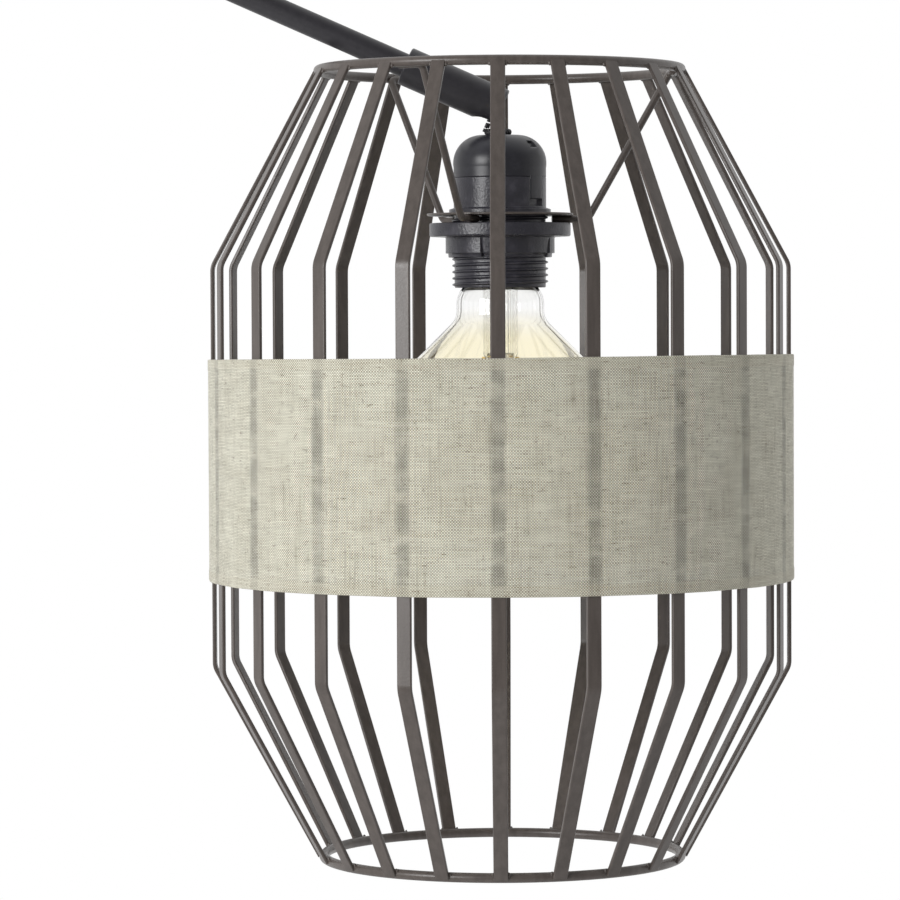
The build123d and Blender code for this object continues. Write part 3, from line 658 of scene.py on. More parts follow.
def make_bar(number):
    azimuth = (number - 1) * 2 * pi / BAR_COUNT
    out = Vector((sin(azimuth), -cos(azimuth), 0))
    along_ring = Vector((cos(azimuth), sin(azimuth), 0))
    middle_r = BAR_OUTER_R - BAR_T / 2
    line = rounded([((BAR_TOP_R, -BAR_OVERRUN, 0), 0), ((middle_r, UPPER_TAPER, 0), BAR_BEND_R),
                    ((middle_r, CAGE_H - LOWER_TAPER, 0), BAR_BEND_R),
                    ((BAR_BOTTOM_R, CAGE_H + BAR_OVERRUN, 0), 0)], steps=7)
    rows = []
    for i, point in enumerate(line):
        ahead = heading(line, i)
        through = Vector((ahead.y, -ahead.x, 0)).normalized()
        rows.append([Vector((AXIS_X, 0, RING_Z)) + out * (point.x + t * through.x)
                     - Vector((0, 0, point.y + t * through.y)) + along_ring * a
                     for a, t in bar_section()])
    bm = bmesh.new()
    bridge(bm, rows, closed_ends=True)
    piece(f"bar_{number:02d}", bm, f"cage_bar_{number:02d}")


for number in range(1, BAR_COUNT + 1):
    make_bar(number)

# %% [markdown]
# Both rings are round wire. Their welds are part of them: two beads where each bar ends, one at
# either side of it, none quite like the next.

# %% Wire rings with their welds
RING_WIRE_R = 2.0
WIRE_SIDES = 24
RINGS = {"top_wire": (74.3, 0.0, "top_ring"), "bottom_wire": (73.6, 323.0, "bottom_ring")}
WELD_R = 0.75 * MM
WELD_L = 1.7 * MM
WELD_ASIDE = 0.2 * MM
WELD_AT = (1.3, 0.9)
WELD_LEAN = (2.6, 3.4)


def make_ring(name):
    ring_r, depth, replaced = RINGS[name]
    wire = arc((ring_r, depth), RING_WIRE_R, 0, 360 - 360 / WIRE_SIDES, WIRE_SIDES - 1)
    bm = turn(outline(*wire), azimuths=around(steps=240))
    toward_cage = 1 if depth == 0 else -1

    def beside_bar(azimuth, out, inward):
        return spot((ring_r + out) * MM, azimuth, (depth + inward * toward_cage) * MM)

    for bar in range(BAR_COUNT):
        for side in (-1, 1):
            azimuth = 2 * pi * bar / BAR_COUNT + side * (BAR_W / 2 + WELD_ASIDE) / (ring_r * MM)
            at = beside_bar(azimuth, *WELD_AT)
            bead(bm, at, beside_bar(azimuth, *WELD_LEAN) - at, WELD_L, WELD_R)
    piece(name, bm, replaced)


for name in RINGS:
    make_ring(name)

# %% [markdown]
# The band is linen on a stiff clear liner, folded over at both edges. The section of the cloth
# is drawn once, with a slightly thicker hem above and below, and turned round the axis. At the
# back its ends overlap in a straight seam. A real band is cut by hand, so its edges wander by a
# few tenths of a millimetre, and its upper edge sags towards the back, with the liner's.

# %% Linen band
LINEN_IN_R = 119.5 * MM
HEM_STEP = 0.14 * MM
HEM_RAMP = 0.3 * MM
FOLD = 0.3 * MM
EDGE_WANDER = 0.25 * MM
WANDER_REACH = 8.0 * MM
BACK_SAG = 3.0 * MM
SIDE_RISE = 1.3 * MM
BAND_ROWS = 24
BAND_FOOT = BAND_TOP + BAND_H


def band_section():
    """(radius, depth, 0) corners of the cloth's section, from the inside round the outside."""
    def column(radius, first, last):
        return [(radius, first + (last - first) * i / BAND_ROWS) for i in range(BAND_ROWS + 1)]

    low, high = BAND_TOP + FOLD, BAND_FOOT - FOLD
    fold_in, fold_out = LINEN_IN_R + 0.12 * MM, LINEN_R - 0.2 * MM
    corners = (
        column(LINEN_IN_R, high, low) + [(fold_in, BAND_TOP), (fold_out, BAND_TOP)]
        + [(LINEN_R, low + 0.1 * MM), (LINEN_R, BAND_TOP + HEM_H - HEM_RAMP)]
        + column(LINEN_R - HEM_STEP, BAND_TOP + HEM_H + HEM_RAMP, BAND_FOOT - HEM_H - HEM_RAMP)
        + [(LINEN_R, BAND_FOOT - HEM_H + HEM_RAMP), (LINEN_R, high - 0.1 * MM)]
        + [(fold_out, BAND_FOOT), (fold_in, BAND_FOOT)])
    return [(radius, depth, 0) for radius, depth in corners]


def sag(azimuth, depth):
    """A depth on the band, whose upper edge sags towards the back and rises a little at +X."""
    left = max(0.0, 1.0 - (depth - BAND_TOP) / BAND_H)
    return depth + left * (BACK_SAG * (1 - cos(azimuth)) / 2 - SIDE_RISE * max(0.0, sin(azimuth)))


def make_band():
    random.seed(7)
    phases = [random.uniform(0, 2 * pi) for _ in range(6)]
    seam_half = SEAM_W / 2 / LINEN_R

    def with_seam(radius, azimuth, depth):
        on_seam = abs(azimuth - SEAM_AZIMUTH) < seam_half
        return LINEN_R if on_seam and radius > LINEN_R - 0.15 * MM else radius

    def wandering(radius, azimuth, depth):
        """The place of a point, with the cloth's edge drawn in a little and unevenly."""
        waves = sum(sin((k + 2) * 3 * azimuth + p) / (k + 2) for k, p in enumerate(phases))
        at_edge = max(0.0, 1.0 - min(depth - BAND_TOP, BAND_FOOT - depth) / WANDER_REACH)
        inward = abs(waves) * EDGE_WANDER / 2 * at_edge
        if depth > BAND_TOP + BAND_H / 2:
            inward = -inward
        return spot(radius, azimuth, sag(azimuth, depth) + inward)

    columns = around(SEAM_AZIMUTH - seam_half, SEAM_AZIMUTH + seam_half, steps=480)
    return piece("band", turn(band_section(), wandering, columns, with_seam), "linen_band")


def make_liner():
    low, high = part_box("band_liner")
    outer_r, top, foot = (high.x - low.x) / 2, RING_Z - high.z, RING_Z - low.z
    inner_r = outer_r - 0.3 * MM
    section = [(inner_r, foot, 0), (inner_r, top, 0), (outer_r, top, 0), (outer_r, foot, 0)]
    bm = turn(section, lambda r, a, d: spot(r, a, sag(a, d)), around(steps=240))
    return piece("liner", bm, "band_liner")


liner = make_liner()
band = make_band()
print("band cut", round(2 * pi * LINEN_R, 3), "m long")

# %% [markdown]
# Three bent rods carry the cage on a washer plate. Each runs out under the plate, climbs to the
# top ring and turns along it in a short foot, which is welded down with a row of beads.

# %% Spider
SPIDER_AZIMUTHS = (-25.0, 98.0, 221.0)
LEG_R = 1.5 * MM
LEG_LEVEL = 61.2 * MM
LEG_INNER_R = 21.5 * MM
LEG_KNEE_R = 36.4 * MM
LEG_BEND_R = 4.0 * MM
FOOT_R = 70.92 * MM
FOOT_DEPTH = 0.9 * MM
FOOT_BEND_R = 2.2 * MM
FOOT_TURN = 11.0 * MM / FOOT_R
FOOT_BEADS = [0.28 + 0.17 * k for k in range(5)]
PLATE_BORE_R, PLATE_R = 20.05, 30.0
PLATE_TOP, PLATE_FOOT = 58.72, 59.7


def make_legs():
    bm = bmesh.new()
    for degrees in SPIDER_AZIMUTHS:
        azimuth = radians(degrees)
        foot = azimuth - FOOT_TURN
        path = rounded([
            (spot(LEG_INNER_R, azimuth, LEG_LEVEL), 0),
            (spot(LEG_KNEE_R, azimuth, LEG_LEVEL), LEG_BEND_R),
            (spot(FOOT_R, azimuth, FOOT_DEPTH), FOOT_BEND_R), (spot(FOOT_R, foot, FOOT_DEPTH), 0)])
        rod(bm, path, LEG_R, rounding=0.4 * MM)
        for share in FOOT_BEADS:
            turned = azimuth - FOOT_TURN * share
            along = spot(FOOT_R, turned + 0.02, 0) - spot(FOOT_R, turned, 0)
            at = spot(FOOT_R + 1.7 * MM, turned, FOOT_DEPTH - 1.5 * MM)
            bead(bm, at, along, length=1.1 * MM, size=0.8 * MM)
    piece("spider_rods", bm, "spider_legs")


make_legs()
washer_outline = outline((PLATE_BORE_R, PLATE_TOP, 0.15), (PLATE_R, PLATE_TOP, 0.35),
                         (PLATE_R, PLATE_FOOT, 0.35), (PLATE_BORE_R, PLATE_FOOT, 0.15))
piece("washer", turn(washer_outline), "spider_plate")

# %% [markdown]
# The lampholder is in two mouldings. The dome is an arc turned to a straight skirt, with a slot
# near its shoulder and a latch tongue below it. The tongue drops over the shell's skirt and ends
# above a small dark pocket, where a screwdriver goes in to part the two.

# %% Lampholder dome
HOLDER_R = 19.0
SEAM = 44.1
CORD_HOLE_R = 3.2
DOME_CENTRE = (7.625, 38.157)
DOME_ARC_R = 11.54
DOME_FROM, DOME_TO = 6.8, 99.7
DOME_WALL = 1.9
LATCH_AZIMUTH = radians(53.0)
LATCH_HALF = 4.0 / HOLDER_R
TONGUE_IN_R = 18.06
TONGUE_FOOT = 53.1
LATCH_FOOT = 55.9
LATCH_R, POCKET_R = 18.0, 17.6
KEY_SLOT_HALF = 1.9 / 15.6
KEY_SLOT_TOP = 29.5
KEY_SLOT_FOOT = 31.9
KEY_SLOT_DEPTH = 1.2


def dome_angle(depth):
    """Where on the dome's arc a depth is reached, in degrees from its top."""
    return acos((DOME_CENTRE[1] - depth) / DOME_ARC_R) * 180 / pi


def dome_outline():
    """The dome from its cord hole over the top to the seam, and back up inside."""
    slot_ends = [dome_angle(depth + side) for depth in (KEY_SLOT_TOP, KEY_SLOT_FOOT)
                 for side in (-0.05, 0.05)]
    stops = [DOME_FROM, *slot_ends, DOME_TO]
    outer = []
    for first, last, steps in zip(stops, stops[1:], (12, 1, 6, 1, 16)):
        outer += arc(DOME_CENTRE, DOME_ARC_R, first, last, steps)[:-1]
    inner = arc(DOME_CENTRE, DOME_ARC_R - DOME_WALL, DOME_TO, DOME_FROM, 20)
    foot = SEAM - 0.05
    rim = [(HOLDER_R, 40.1, 0), (HOLDER_R, foot, 0.3), (HOLDER_R - DOME_WALL, foot, 0)]
    return outline((CORD_HOLE_R, 26.7, 0.5), *outer, *rim, *inner, (CORD_HOLE_R, 28.6, 0))


def with_key_slot(radius, azimuth, depth):
    in_height = KEY_SLOT_TOP * MM < depth < KEY_SLOT_FOOT * MM
    below = depth / MM - DOME_CENTRE[1]
    skin = (DOME_CENTRE[0] + sqrt(max(0, DOME_ARC_R ** 2 - below ** 2)) - 0.5) * MM
    in_width = abs(azimuth - LATCH_AZIMUTH) < KEY_SLOT_HALF
    return radius - KEY_SLOT_DEPTH * MM if in_height and in_width and radius > skin else radius


def make_dome():
    slot_edges = around(LATCH_AZIMUTH - KEY_SLOT_HALF, LATCH_AZIMUTH + KEY_SLOT_HALF)
    bm = turn(dome_outline(), azimuths=slot_edges, shape=with_key_slot)
    tongue = outline((TONGUE_IN_R, SEAM - 0.4, 0), (HOLDER_R, SEAM - 0.4, 0),
                     (HOLDER_R, TONGUE_FOOT, 0.35), (TONGUE_IN_R, TONGUE_FOOT, 0.2))
    sweep = [LATCH_AZIMUTH + (k / 6 - 1) * (LATCH_HALF - EDGE_HALF) for k in range(13)]
    bridge(bm, [[spot(p.x, a, p.y) for p in tongue] for a in sweep], closed_ends=True)
    piece("dome", bm, "holder_cap", material="dome_plastic")


make_dome()

# %% [markdown]
# The shell below carries the outer thread. A thread is a tooth that climbs one pitch a turn, so
# its skin is a finely stepped cylinder whose radius follows the depth and the azimuth together.

# %% Lampholder shell
THREAD_ROOT_R = 18.75
THREAD_CREST_R = 19.7
THREAD_PITCH = 2.62
THREAD_TOP = 59.3
THREAD_END = 88.7
THREAD_ROW = 0.15
TOOTH_FROM, TOOTH_TO, FLANK = 0.42, 0.98, 0.20


def tooth(phase):
    """The height of a thread's tooth across one pitch, from 0 to 1: root, flank, crest, flank."""
    rise = min(max((phase - TOOTH_FROM) / FLANK, 0.0), 1.0)
    fall = min(max((TOOTH_TO - phase) / FLANK, 0.0), 1.0)
    height = min(rise, fall)
    return height * height * (3 - 2 * height)


def with_thread_and_latch(radius, azimuth, depth):
    radius_mm, depth_mm = radius / MM, depth / MM
    from_latch = abs(azimuth - LATCH_AZIMUTH)
    if radius_mm > 18.4 and depth_mm < LATCH_FOOT and from_latch < LATCH_HALF:
        return (POCKET_R if depth_mm > TONGUE_FOOT - 0.1 else LATCH_R) * MM
    if abs(radius_mm - THREAD_ROOT_R) < 0.01 and THREAD_TOP < depth_mm < THREAD_END:
        fade = min(1.0, (depth_mm - THREAD_TOP) / 0.8, (THREAD_END - depth_mm) / 0.5)
        phase = ((depth_mm - THREAD_TOP) / THREAD_PITCH + azimuth / (2 * pi)) % 1.0
        return (THREAD_ROOT_R + (THREAD_CREST_R - THREAD_ROOT_R) * tooth(phase) * fade) * MM
    return radius


def shell_outline():
    rows = int((THREAD_END - THREAD_TOP) / THREAD_ROW)
    thread = [(THREAD_ROOT_R, THREAD_TOP + k * THREAD_ROW, 0) for k in range(rows + 1)]
    latch = [(HOLDER_R, TONGUE_FOOT - 0.15, 0), (HOLDER_R, TONGUE_FOOT, 0),
             (HOLDER_R, LATCH_FOOT - 0.05, 0), (HOLDER_R, LATCH_FOOT + 0.05, 0)]
    return outline(
        (17.1, SEAM, 0), (HOLDER_R, SEAM, 0.3), (HOLDER_R, 46.0, 0), *latch, (HOLDER_R, 56.5, 0.3),
        (20.9, 57.1, 0.3), (20.9, 58.7, 0.15), (THREAD_ROOT_R, 58.7, 0), *thread,
        (THREAD_ROOT_R, 88.75, 0), (18.5, 89.2, 0.1), (17.3, 89.2, 0.2),
        (17.3, 82.0, 0), (13.6, 82.0, 0.2), (13.6, 60.0, 0), (17.1, 60.0, 0))


shell_mesh = turn(shell_outline(), shape=with_thread_and_latch,
                  azimuths=around(LATCH_AZIMUTH - LATCH_HALF, LATCH_AZIMUTH + LATCH_HALF))
piece("shell", shell_mesh, "holder_body")

# %% [markdown]
# The screw ring is a broad flange over a skirt to grip. Two shallow finger recesses take up
# nearly half of the skirt between them, each with a fine groove at both of its edges.

# %% Screw ring
RING_BORE_R = 19.76
FLANGE_TOP = 62.72
FLANGE_R = 29.0
FLANGE_BOTTOM = 68.6
SKIRT_R = 22.4
SKIRT_STEP = 75.1
SKIRT_BOTTOM = 76.8
RECESS_AZIMUTHS = [radians(22.5), radians(202.5)]
RECESS_HALF = radians(42.5)
RECESS_DEPTH = 0.6
GROOVE = 0.03
GROOVE_DEPTH = 1.5


def with_recesses(radius, azimuth, depth):
    on_skirt = radius > 20.5 * MM and depth > (FLANGE_BOTTOM + 0.5) * MM
    off = min(apart(azimuth, middle) for middle in RECESS_AZIMUTHS)
    if not on_skirt or off > RECESS_HALF:
        return radius
    return radius - (GROOVE_DEPTH if off > RECESS_HALF - GROOVE else RECESS_DEPTH) * MM


recess_edges = [middle + side * half for middle in RECESS_AZIMUTHS for side in (-1, 1)
                for half in (RECESS_HALF, RECESS_HALF - GROOVE)]
ring_outline = outline(
    (RING_BORE_R, FLANGE_TOP, 0.2), (FLANGE_R, FLANGE_TOP, 0.6),
    (FLANGE_R, FLANGE_BOTTOM - 0.4, 0.7), (SKIRT_R, FLANGE_BOTTOM, 0.4),
    (SKIRT_R, SKIRT_STEP, 0.15), (21.4, SKIRT_STEP + 0.05, 0), (21.2, SKIRT_BOTTOM, 0.3),
    (RING_BORE_R, SKIRT_BOTTOM, 0))
ring_mesh = turn(ring_outline, azimuths=around(*recess_edges), shape=with_recesses)
piece("screw_ring", ring_mesh, "shade_ring")

# %% [markdown]
# The cord is two strands laid round each other, which leave the arm through its notch, turn down
# and end on the dome in a lump of thin rope. Two thinner strands hang at their left. The turn of
# the laid strands is reckoned from the distance along the cord, so the three pieces that the
# swinging joints part still line up when the lamp hangs still.

# %% Twisted strands
STRAND_R = 1.2 * MM
STRAND_OFFSET = 1.3 * MM
LAY = 9.0 * MM
STRAND_STEP = 0.4 * MM
SIDE_TOP = 17.6 * MM
SIDE_LEFT = 3.1 * MM
SIDE_STRANDS = ((0.9, 0.6 * MM), (1.3, -1.2 * MM))
SIDE_STRAND_R = 0.7 * MM


def lay_strands(bm, corners, foot_depth):
    """Two strands about a line of corners that ends straight down at a depth."""
    line = []
    for before, after in zip(rounded(corners), rounded(corners)[1:]):
        count = max(1, round((after - before).length / STRAND_STEP))
        line += [before.lerp(after, k / count) for k in range(count)]
    line.append(Vector(corners[-1][0]))
    to_end = [0.0]
    for before, after in zip(line[-2::-1], line[:0:-1]):
        to_end.append(to_end[-1] + (after - before).length)
    for start in (0.0, pi):
        path = []
        for i, (point, left) in enumerate(zip(line, to_end[::-1])):
            turned = start + 2 * pi * (foot_depth - left) / LAY
            ahead = heading(line, i).normalized()
            across = ahead.cross(Vector((0, 1, 0))) * sin(turned) - Vector((0, cos(turned), 0))
            path.append(point + across * STRAND_OFFSET)
        rod(bm, path, STRAND_R, rounding=0.3 * MM, sides=14)


def drop_between(bm, top, foot):
    lay_strands(bm, [(spot(0, 0, top), 0), (spot(0, 0, foot), 0)], foot)


def side_strands(bm, top, foot):
    """Two thinner strands left of the cord, which spread towards their feet."""
    for spread, behind in SIDE_STRANDS:
        path = []
        for depth in (top, (top + foot) / 2, foot):
            left = SIDE_LEFT + spread * (depth - SIDE_TOP) / 3
            path.append(spot(0, 0, depth) + Vector((-left, behind, 0)))
        rod(bm, path, SIDE_STRAND_R, rounding=0.15 * MM, sides=10)


# %% [markdown]
# The arm is one steel tube bent over a large former, and a thicker sleeve grips its end. The
# sleeve is open below at its tip, where a slot lets the cord out. A turned tube has no slot, so
# its columns are laid out one by one: those inside the slot stop early, in a half circle.

# %% Arm
BOW_R = 190.0 * MM
BOW_START_Z = 1505.0 * MM
ARM_FOOT_Z = 1450.0 * MM
ARM_R = 5.0 * MM
ARM_BORE_R = 3.6 * MM
SLEEVE_L = 43.5 * MM
SLEEVE_GRIP = 24.0 * MM
DROOP = radians(24.0)
ALONG = Vector((cos(DROOP), 0, -sin(DROOP)))
UNDER = Vector((-sin(DROOP), 0, -cos(DROOP)))
SLEEVE_END = spot(0, 0, 15.7 * MM) + Vector((1.0 * MM, 0, 0))
BOW_STEPS = 96

bow = [Vector((0, 0, ARM_FOOT_Z))]
for k in range(BOW_STEPS + 1):
    swept = (pi / 2 + DROOP) * k / BOW_STEPS
    bow.append(Vector((BOW_R * (1 - cos(swept)), 0, BOW_START_Z + BOW_R * sin(swept))))
tube_end = SLEEVE_END + ALONG * (SLEEVE_GRIP - SLEEVE_L)
arm_mesh = bmesh.new()
rod(arm_mesh, bow + [tube_end], ARM_R, bore=ARM_BORE_R, rounding=0.3 * MM, sides=32)
piece("arm_tube", arm_mesh, "bow_arm")

# %% End sleeve with its slot
SLEEVE_R = 8.0
SLEEVE_BORE_R = 6.4
SLOT_R = 4.8
SLOT_CENTRE = 38.3
SLOT_COLUMNS = 12
OTHER_COLUMNS = 60


def make_sleeve():
    """Columns run round from below: first those in the slot, then the rest of the tube."""
    length, grip = SLEEVE_L / MM, SLEEVE_GRIP / MM
    stops = (grip, SLOT_CENTRE - SLOT_R, SLOT_CENTRE)
    outside = [(ARM_R / MM, 0, 0), (SLEEVE_R, 0, 0.8), *((SLEEVE_R, s, 0) for s in stops)]
    inside = [(SLEEVE_BORE_R, s, 0) for s in (length, *stops[::-1])]
    section = rounded([((radius, along, 0), rounding) for radius, along, rounding in
                       (*outside, (SLEEVE_R, length, 0.8), *inside, (ARM_R / MM, grip, 0))])
    columns = []
    for k in range(SLOT_COLUMNS + 1):
        turned = (k / SLOT_COLUMNS - 0.5) * pi
        stop = SLOT_CENTRE - SLOT_R * cos(turned)
        columns.append([(p.x, min(p.y, stop), asin(SLOT_R * sin(turned) / p.x)) for p in section])
    edges = [asin(SLOT_R / p.x) for p in section]
    for k in range(OTHER_COLUMNS + 1):
        columns.append([(p.x, p.y, e + (2 * pi - 2 * e) * k / OTHER_COLUMNS)
                        for p, e in zip(section, edges)])
    start = SLEEVE_END - ALONG * SLEEVE_L
    rows = [[start + (ALONG * s + UNDER * r * cos(a) + Vector((0, r * sin(a), 0))) * MM
             for r, s, a in column] for column in columns]
    bm = bmesh.new()
    bridge(bm, rows, loop=True)
    bmesh.ops.remove_doubles(bm, verts=bm.verts[:], dist=0.002 * MM)
    made = piece("end_sleeve", bm, "arm_sleeve")
    edges = made.modifiers.new("soft edges", "BEVEL")
    edges.width = 0.15 * MM
    edges.segments = 2
    edges.angle_limit = radians(50.0)


make_sleeve()

# %% Cord pieces
FLEX_R = 2.6 * MM
HALF_GAP = 0.15 * MM
SIDE_GAP = 0.25 * MM
SWING_SIDE_DEPTH = 21.5 * MM
SWING_FRONT_DEPTH = 23.9 * MM
CORD_CORNER_DEPTH = 15.255 * MM
CORD_BEND_R = 7.0 * MM
CORD_FOOT = 26.5 * MM
STRIPPED = 20.0 * MM
LUMP_R = 4.4 * MM
LUMP_MIDDLE = 25.38 * MM
LUMP_SHIFT = Vector((-0.7 * MM, 0, 0))
ROPE_STRANDS = 3
ROPE_R = 0.68 * MM
ROPE_OFFSET = 0.62 * MM
ROPE_TURNS = 6
ROPE_STEPS = 144

corner = spot(0, 0, CORD_CORNER_DEPTH)
arm_foot = SWING_SIDE_DEPTH - HALF_GAP
flex_mesh = bmesh.new()
rod(flex_mesh, bow + [corner - ALONG * STRIPPED], FLEX_R, rounding=0.4 * MM, sides=16)
lay_strands(flex_mesh, [(corner - ALONG * (STRIPPED + 2 * MM), 0), (corner, CORD_BEND_R),
                        (spot(0, 0, arm_foot), 0)], arm_foot)
side_strands(flex_mesh, SIDE_TOP, SWING_SIDE_DEPTH - SIDE_GAP)
piece("arm_cord", flex_mesh, "arm_flex")

drop_mesh = bmesh.new()
drop_between(drop_mesh, SWING_SIDE_DEPTH + HALF_GAP, SWING_FRONT_DEPTH - HALF_GAP)
side_strands(drop_mesh, SWING_SIDE_DEPTH + SIDE_GAP, SWING_FRONT_DEPTH - HALF_GAP)
piece("cord_between", drop_mesh, "cord_drop")

lump_mesh = bmesh.new()
drop_between(lump_mesh, SWING_FRONT_DEPTH + HALF_GAP, CORD_FOOT)
side_strands(lump_mesh, SWING_FRONT_DEPTH + HALF_GAP, LUMP_MIDDLE)
for strand in range(ROPE_STRANDS):
    coil = []
    for k in range(ROPE_STEPS):
        turned = 2 * pi * k / ROPE_STEPS
        laid = ROPE_TURNS * turned + 2 * pi * strand / ROPE_STRANDS
        out, down = ROPE_OFFSET * cos(laid), ROPE_OFFSET * sin(laid)
        coil.append(LUMP_SHIFT + spot(LUMP_R + out, turned, LUMP_MIDDLE + down))
    rod(lump_mesh, coil + coil[:3], ROPE_R, sides=10)
piece("cord_lump", lump_mesh, "cord_knot")

# %% [markdown]
# The globe is blown glass under a millimetre thick, so it is two skins, one inside the other.
# Both follow the same arcs: a ball, a short cone, the flare into a straight neck and a shoulder
# that closes in on the cap. The inner skin faces inwards, which is what tells the renderer where
# glass begins and ends.

# %% Bulb
BALL_R = 47.5
BALL_CENTRE = 151.0
NECK_R = 18.0
NECK_DEPTH = 98.5
FLARE_R = 8.0
SHOULDER_DEPTH = 96.0
SHOULDER_R = 10.7
MOUTH_R = 11.55
MOUTH_DEPTH = 84.4
MOUTH_H = 1.6
GLASS_T = 0.9


def globe_skin(inset):
    """A skin of the globe from the bottom of the ball up to the middle of its closed top."""
    mouth = MOUTH_DEPTH + 2 * inset
    ball = arc((0, BALL_CENTRE), BALL_R - inset, 180, 45, 56)
    flare = arc((NECK_R + FLARE_R, NECK_DEPTH), FLARE_R + inset, -135, -90, 12)
    shoulder = arc((NECK_R - SHOULDER_R, SHOULDER_DEPTH), SHOULDER_R - inset, 90, 23.4, 14)
    top = [(MOUTH_R - inset, mouth + MOUTH_H - inset, 0), (MOUTH_R - inset, mouth, 0)]
    return ball + flare + shoulder + top + [(0, mouth, 0)]


glass_mesh = turn(outline(*globe_skin(0.0), *globe_skin(GLASS_T)[::-1]), azimuths=around(steps=144))
piece("globe", glass_mesh, "bulb_glass", hollow=True)

# %% [markdown]
# Inside, a clear tube hangs from the cap and pinches to a thin spine. Four coated rods lean out
# round the spine, each held by a thin bent wire at its top and at its foot.

# %% Stem and filaments
FILAMENT_COUNT = 4
ROD_TOP = (9.5 * MM, 118.0 * MM)
ROD_FOOT = (13.5 * MM, 158.0 * MM)
ROD_R = 1.0 * MM
HOOK_R = 0.25 * MM
stem_outline = outline(
    (4.4, 87.6, 0.3), (7.2, 87.6, 0.6), (7.2, 117.0, 3.0), (1.5, 124.0, 1.0), (1.5, 156.0, 0.6),
    (0, 158.4, 0), (0, 120.5, 0), (4.4, 116.5, 1.0))
piece("stem", turn(stem_outline, azimuths=around(steps=48)), "glass_stem")

rods_mesh = bmesh.new()
for k in range(FILAMENT_COUNT):
    def at(radius, depth):
        return spot(radius, 2 * pi * (k + 0.5) / FILAMENT_COUNT, depth)

    rod(rods_mesh, [at(*ROD_TOP), at(*ROD_FOOT)], ROD_R, rounding=0.3 * MM, sides=16)
    top_hook = [(at(1.4 * MM, 126 * MM), 0), (at(7.6 * MM, 119.5 * MM), 0.8 * MM),
                (at(ROD_TOP[0], ROD_TOP[1] + MM), 0)]
    foot_hook = [(at(1.4 * MM, 154 * MM), 0), (at(12.6 * MM, 160.5 * MM), 1.5 * MM),
                 (at(ROD_FOOT[0] - 0.1 * MM, ROD_FOOT[1] - MM), 0)]
    for hook in (top_hook, foot_hook):
        rod(rods_mesh, rounded(hook), HOOK_R, sides=8)
piece("filament_rods", rods_mesh, "filaments")

# %% [markdown]
# The base is a spun steel cover over an iron weight on a felt pad, with a bell collar where the
# pole stands. A spun edge is never sharp, so every rim gets its own small rounding. At the back
# a plastic grommet lines the hole where a mains lead would leave.

# %% Base
BASE_R = 140.0
COVER_FOOT = 2.05
COVER_TOP = 23.5
COVER_T = 1.2
PAD_R = 139.0
PAD_T = 2.0
OUTLET_Z = 8.0
OUTLET_HALF = 3.4
OUTLET_POCKET = 6.0


def with_outlet(radius, azimuth, height):
    """Push a small pocket into the cover's wall, which the grommet's lip hides the edges of."""
    near = (abs(azimuth - pi) * BASE_R < OUTLET_HALF
            and abs(height / MM - OUTLET_Z) < OUTLET_HALF)
    return radius - OUTLET_POCKET * MM if near and radius > (BASE_R - 3.0) * MM else radius


wall = [(BASE_R, OUTLET_Z + side * OUTLET_HALF + step_out, 0)
        for side in (-1, 1) for step_out in (-0.05, 0.05)]
inner_r, inner_top = BASE_R - COVER_T, COVER_TOP - COVER_T
cover_outline = outline(
    (inner_r, COVER_FOOT, 0.2), (BASE_R, COVER_FOOT, 0.4), *wall, (BASE_R, COVER_TOP, 6.0),
    (5.4, COVER_TOP, 0.4), (5.4, inner_top, 0.2), (inner_r, inner_top, 4.8))
outlet_edges = [pi + side * OUTLET_HALF / BASE_R for side in (-1, 1)]
cover_mesh = turn(cover_outline, post, around(*outlet_edges, steps=240), with_outlet)
piece("cover", cover_mesh, "base_cover")
pad_outline = outline((0, 0, 0), (PAD_R, 0, 0.5), (PAD_R, PAD_T, 0.3), (0, PAD_T, 0))
piece("pad", turn(pad_outline, post, around(steps=240)), "base_pad")


def outlet(radius, azimuth, out):
    """A point round the lead's outlet at the back of the base."""
    return Vector((radius * sin(azimuth), BASE_R * MM + out, OUTLET_Z * MM + radius * cos(azimuth)))


grommet_outline = outline(
    (2.6, -3.0, 0.5), (2.6, 1.6, 0.6), (5.0, 1.6, 0.7), (5.0, 0.05, 0.2), (3.95, 0.05, 0),
    (3.95, -1.4, 0), (5.0, -1.4, 0.2), (5.0, -3.0, 0.4))
piece("grommet", turn(grommet_outline, outlet, around(steps=48)), "cord_grommet")

# %% Collar and pole
POLE_R = 8.0
POLE_BORE_R = 6.7
POLE_JOINT_Z = 752.0
POLE_TOP_Z = 1478.0
COLLAR_BORE_R = 8.05
COLLAR_TOP = 49.5
BELL_CENTRE = (22.43, 37.93)
BELL_R = 12.017
collar_outline = outline(
    (COLLAR_BORE_R, COVER_TOP, 0.2), (21.0, COVER_TOP, 0.3), (21.0, 26.0, 0.8),
    *arc(BELL_CENTRE, BELL_R, -12, -83.16, 14), (9.4, COLLAR_TOP, 0.5),
    (COLLAR_BORE_R, COLLAR_TOP, 0.3))
piece("collar", turn(collar_outline, post), "foot_collar")


def pole_tube(name, foot, top, replaced):
    """A length of pole whose ends are eased, so that the joint shows as a fine groove."""
    section = outline((POLE_BORE_R, foot, 0), (POLE_R, foot, 0.35),
                      (POLE_R, top, 0.35), (POLE_BORE_R, top, 0))
    piece(name, turn(section, post, around(steps=48)), replaced)


pole_tube("pole_foot", COVER_TOP, POLE_JOINT_Z, "lower_tube")
pole_tube("pole_head", POLE_JOINT_Z, POLE_TOP_Z, "upper_tube")

# %% [markdown]
# A pale floor keeps the lamp's shadow. The world is white where the camera looks and where glass
# lets the view through. Anything else is lit by a sky that is bright behind the shade and dim on
# the camera's side, and one large soft lamp shades the band from left to right.

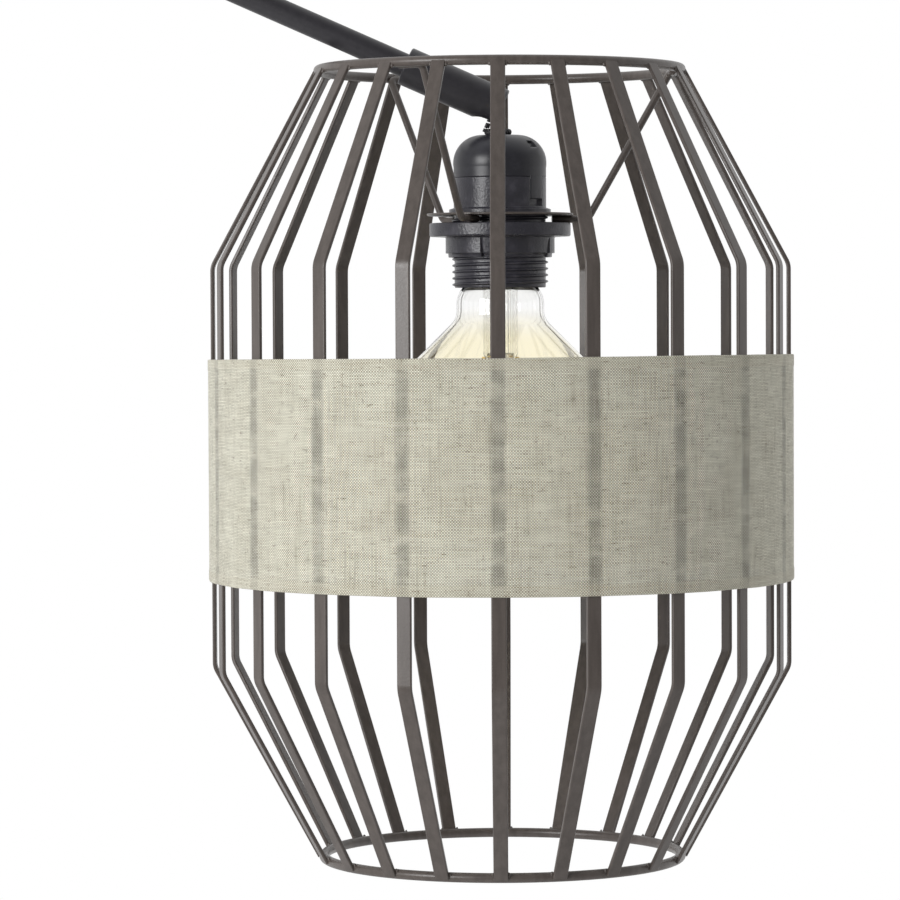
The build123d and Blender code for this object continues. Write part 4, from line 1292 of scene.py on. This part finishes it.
# %% Floor, world and lamps
FLOOR_R = 3.0
FRONT_LEVEL = 0.32
SKY_FROM, SKY_TO = -0.7, 0.35


def floor_paint(here):
    return {"Base Color": blend(noise(here, 400.0), (0.80, 0.80, 0.80), (0.82, 0.82, 0.82))}


floor_mesh = bmesh.new()
bmesh.ops.create_circle(floor_mesh, cap_ends=True, segments=96, radius=FLOOR_R)
floor_data = bpy.data.meshes.new("floor")
floor_mesh.to_mesh(floor_data)
floor_mesh.free()
floor_data.materials.append(finish("floor_paint", floor_paint, Roughness=0.9))
ground = add("floor", floor_data)
ground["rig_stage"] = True

world = bpy.data.worlds.new("studio")
bpy.context.scene.world = world
world.use_nodes = True
background = Wire(world.node_tree.nodes["Background"].outputs[0])
rays = background.node("ShaderNodeLightPath").socket.node
through = (Wire(rays.outputs["Is Camera Ray"]) + Wire(rays.outputs["Is Transmission Ray"]))
direction = background.node("ShaderNodeTexCoord")
backward = background.node("ShaderNodeSeparateXYZ", {}, {0: direction}, output="Y")
sky = step(backward, SKY_FROM, SKY_TO) * (1.0 - FRONT_LEVEL) + FRONT_LEVEL
level = background.math("MAXIMUM", background.math("MINIMUM", through, 1.0), sky)
world.node_tree.links.new(level.socket, world.node_tree.nodes["Background"].inputs["Strength"])
world.node_tree.nodes["Background"].inputs["Color"].default_value = (1.0, 1.0, 1.0, 1.0)

KEY_AT = Vector((AXIS_X - 1.68, -1.78, RING_Z + 0.3))
KEY_SIZE = 1.2
KEY_WATTS = 50.0
key_light = bpy.data.lights.new("key", "AREA")
key_light.size = KEY_SIZE
key_light.energy = KEY_WATTS
key = add("key", key_light)
toward_shade = (spot(0, 0, CAGE_H / 2) - KEY_AT).normalized().to_track_quat("-Z", "Y")
key.matrix_world = Matrix.Translation(KEY_AT) @ toward_shade.to_matrix().to_4x4()
key.visible_camera = False
bpy.context.scene.view_settings.view_transform = "Standard"
print("lamps and world set")

# %% [markdown]
# Last, the sizes are printed: the box of the drawn solids and the box of what shows. They
# have to agree, because this script changes looks and never the lamp's size.

# %% Sizes
shown_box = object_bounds()
for name, box in (("drawn", solid_box), ("shown", shown_box)):
    print(name, [tuple(round(v, 4) for v in corner) for corner in box])
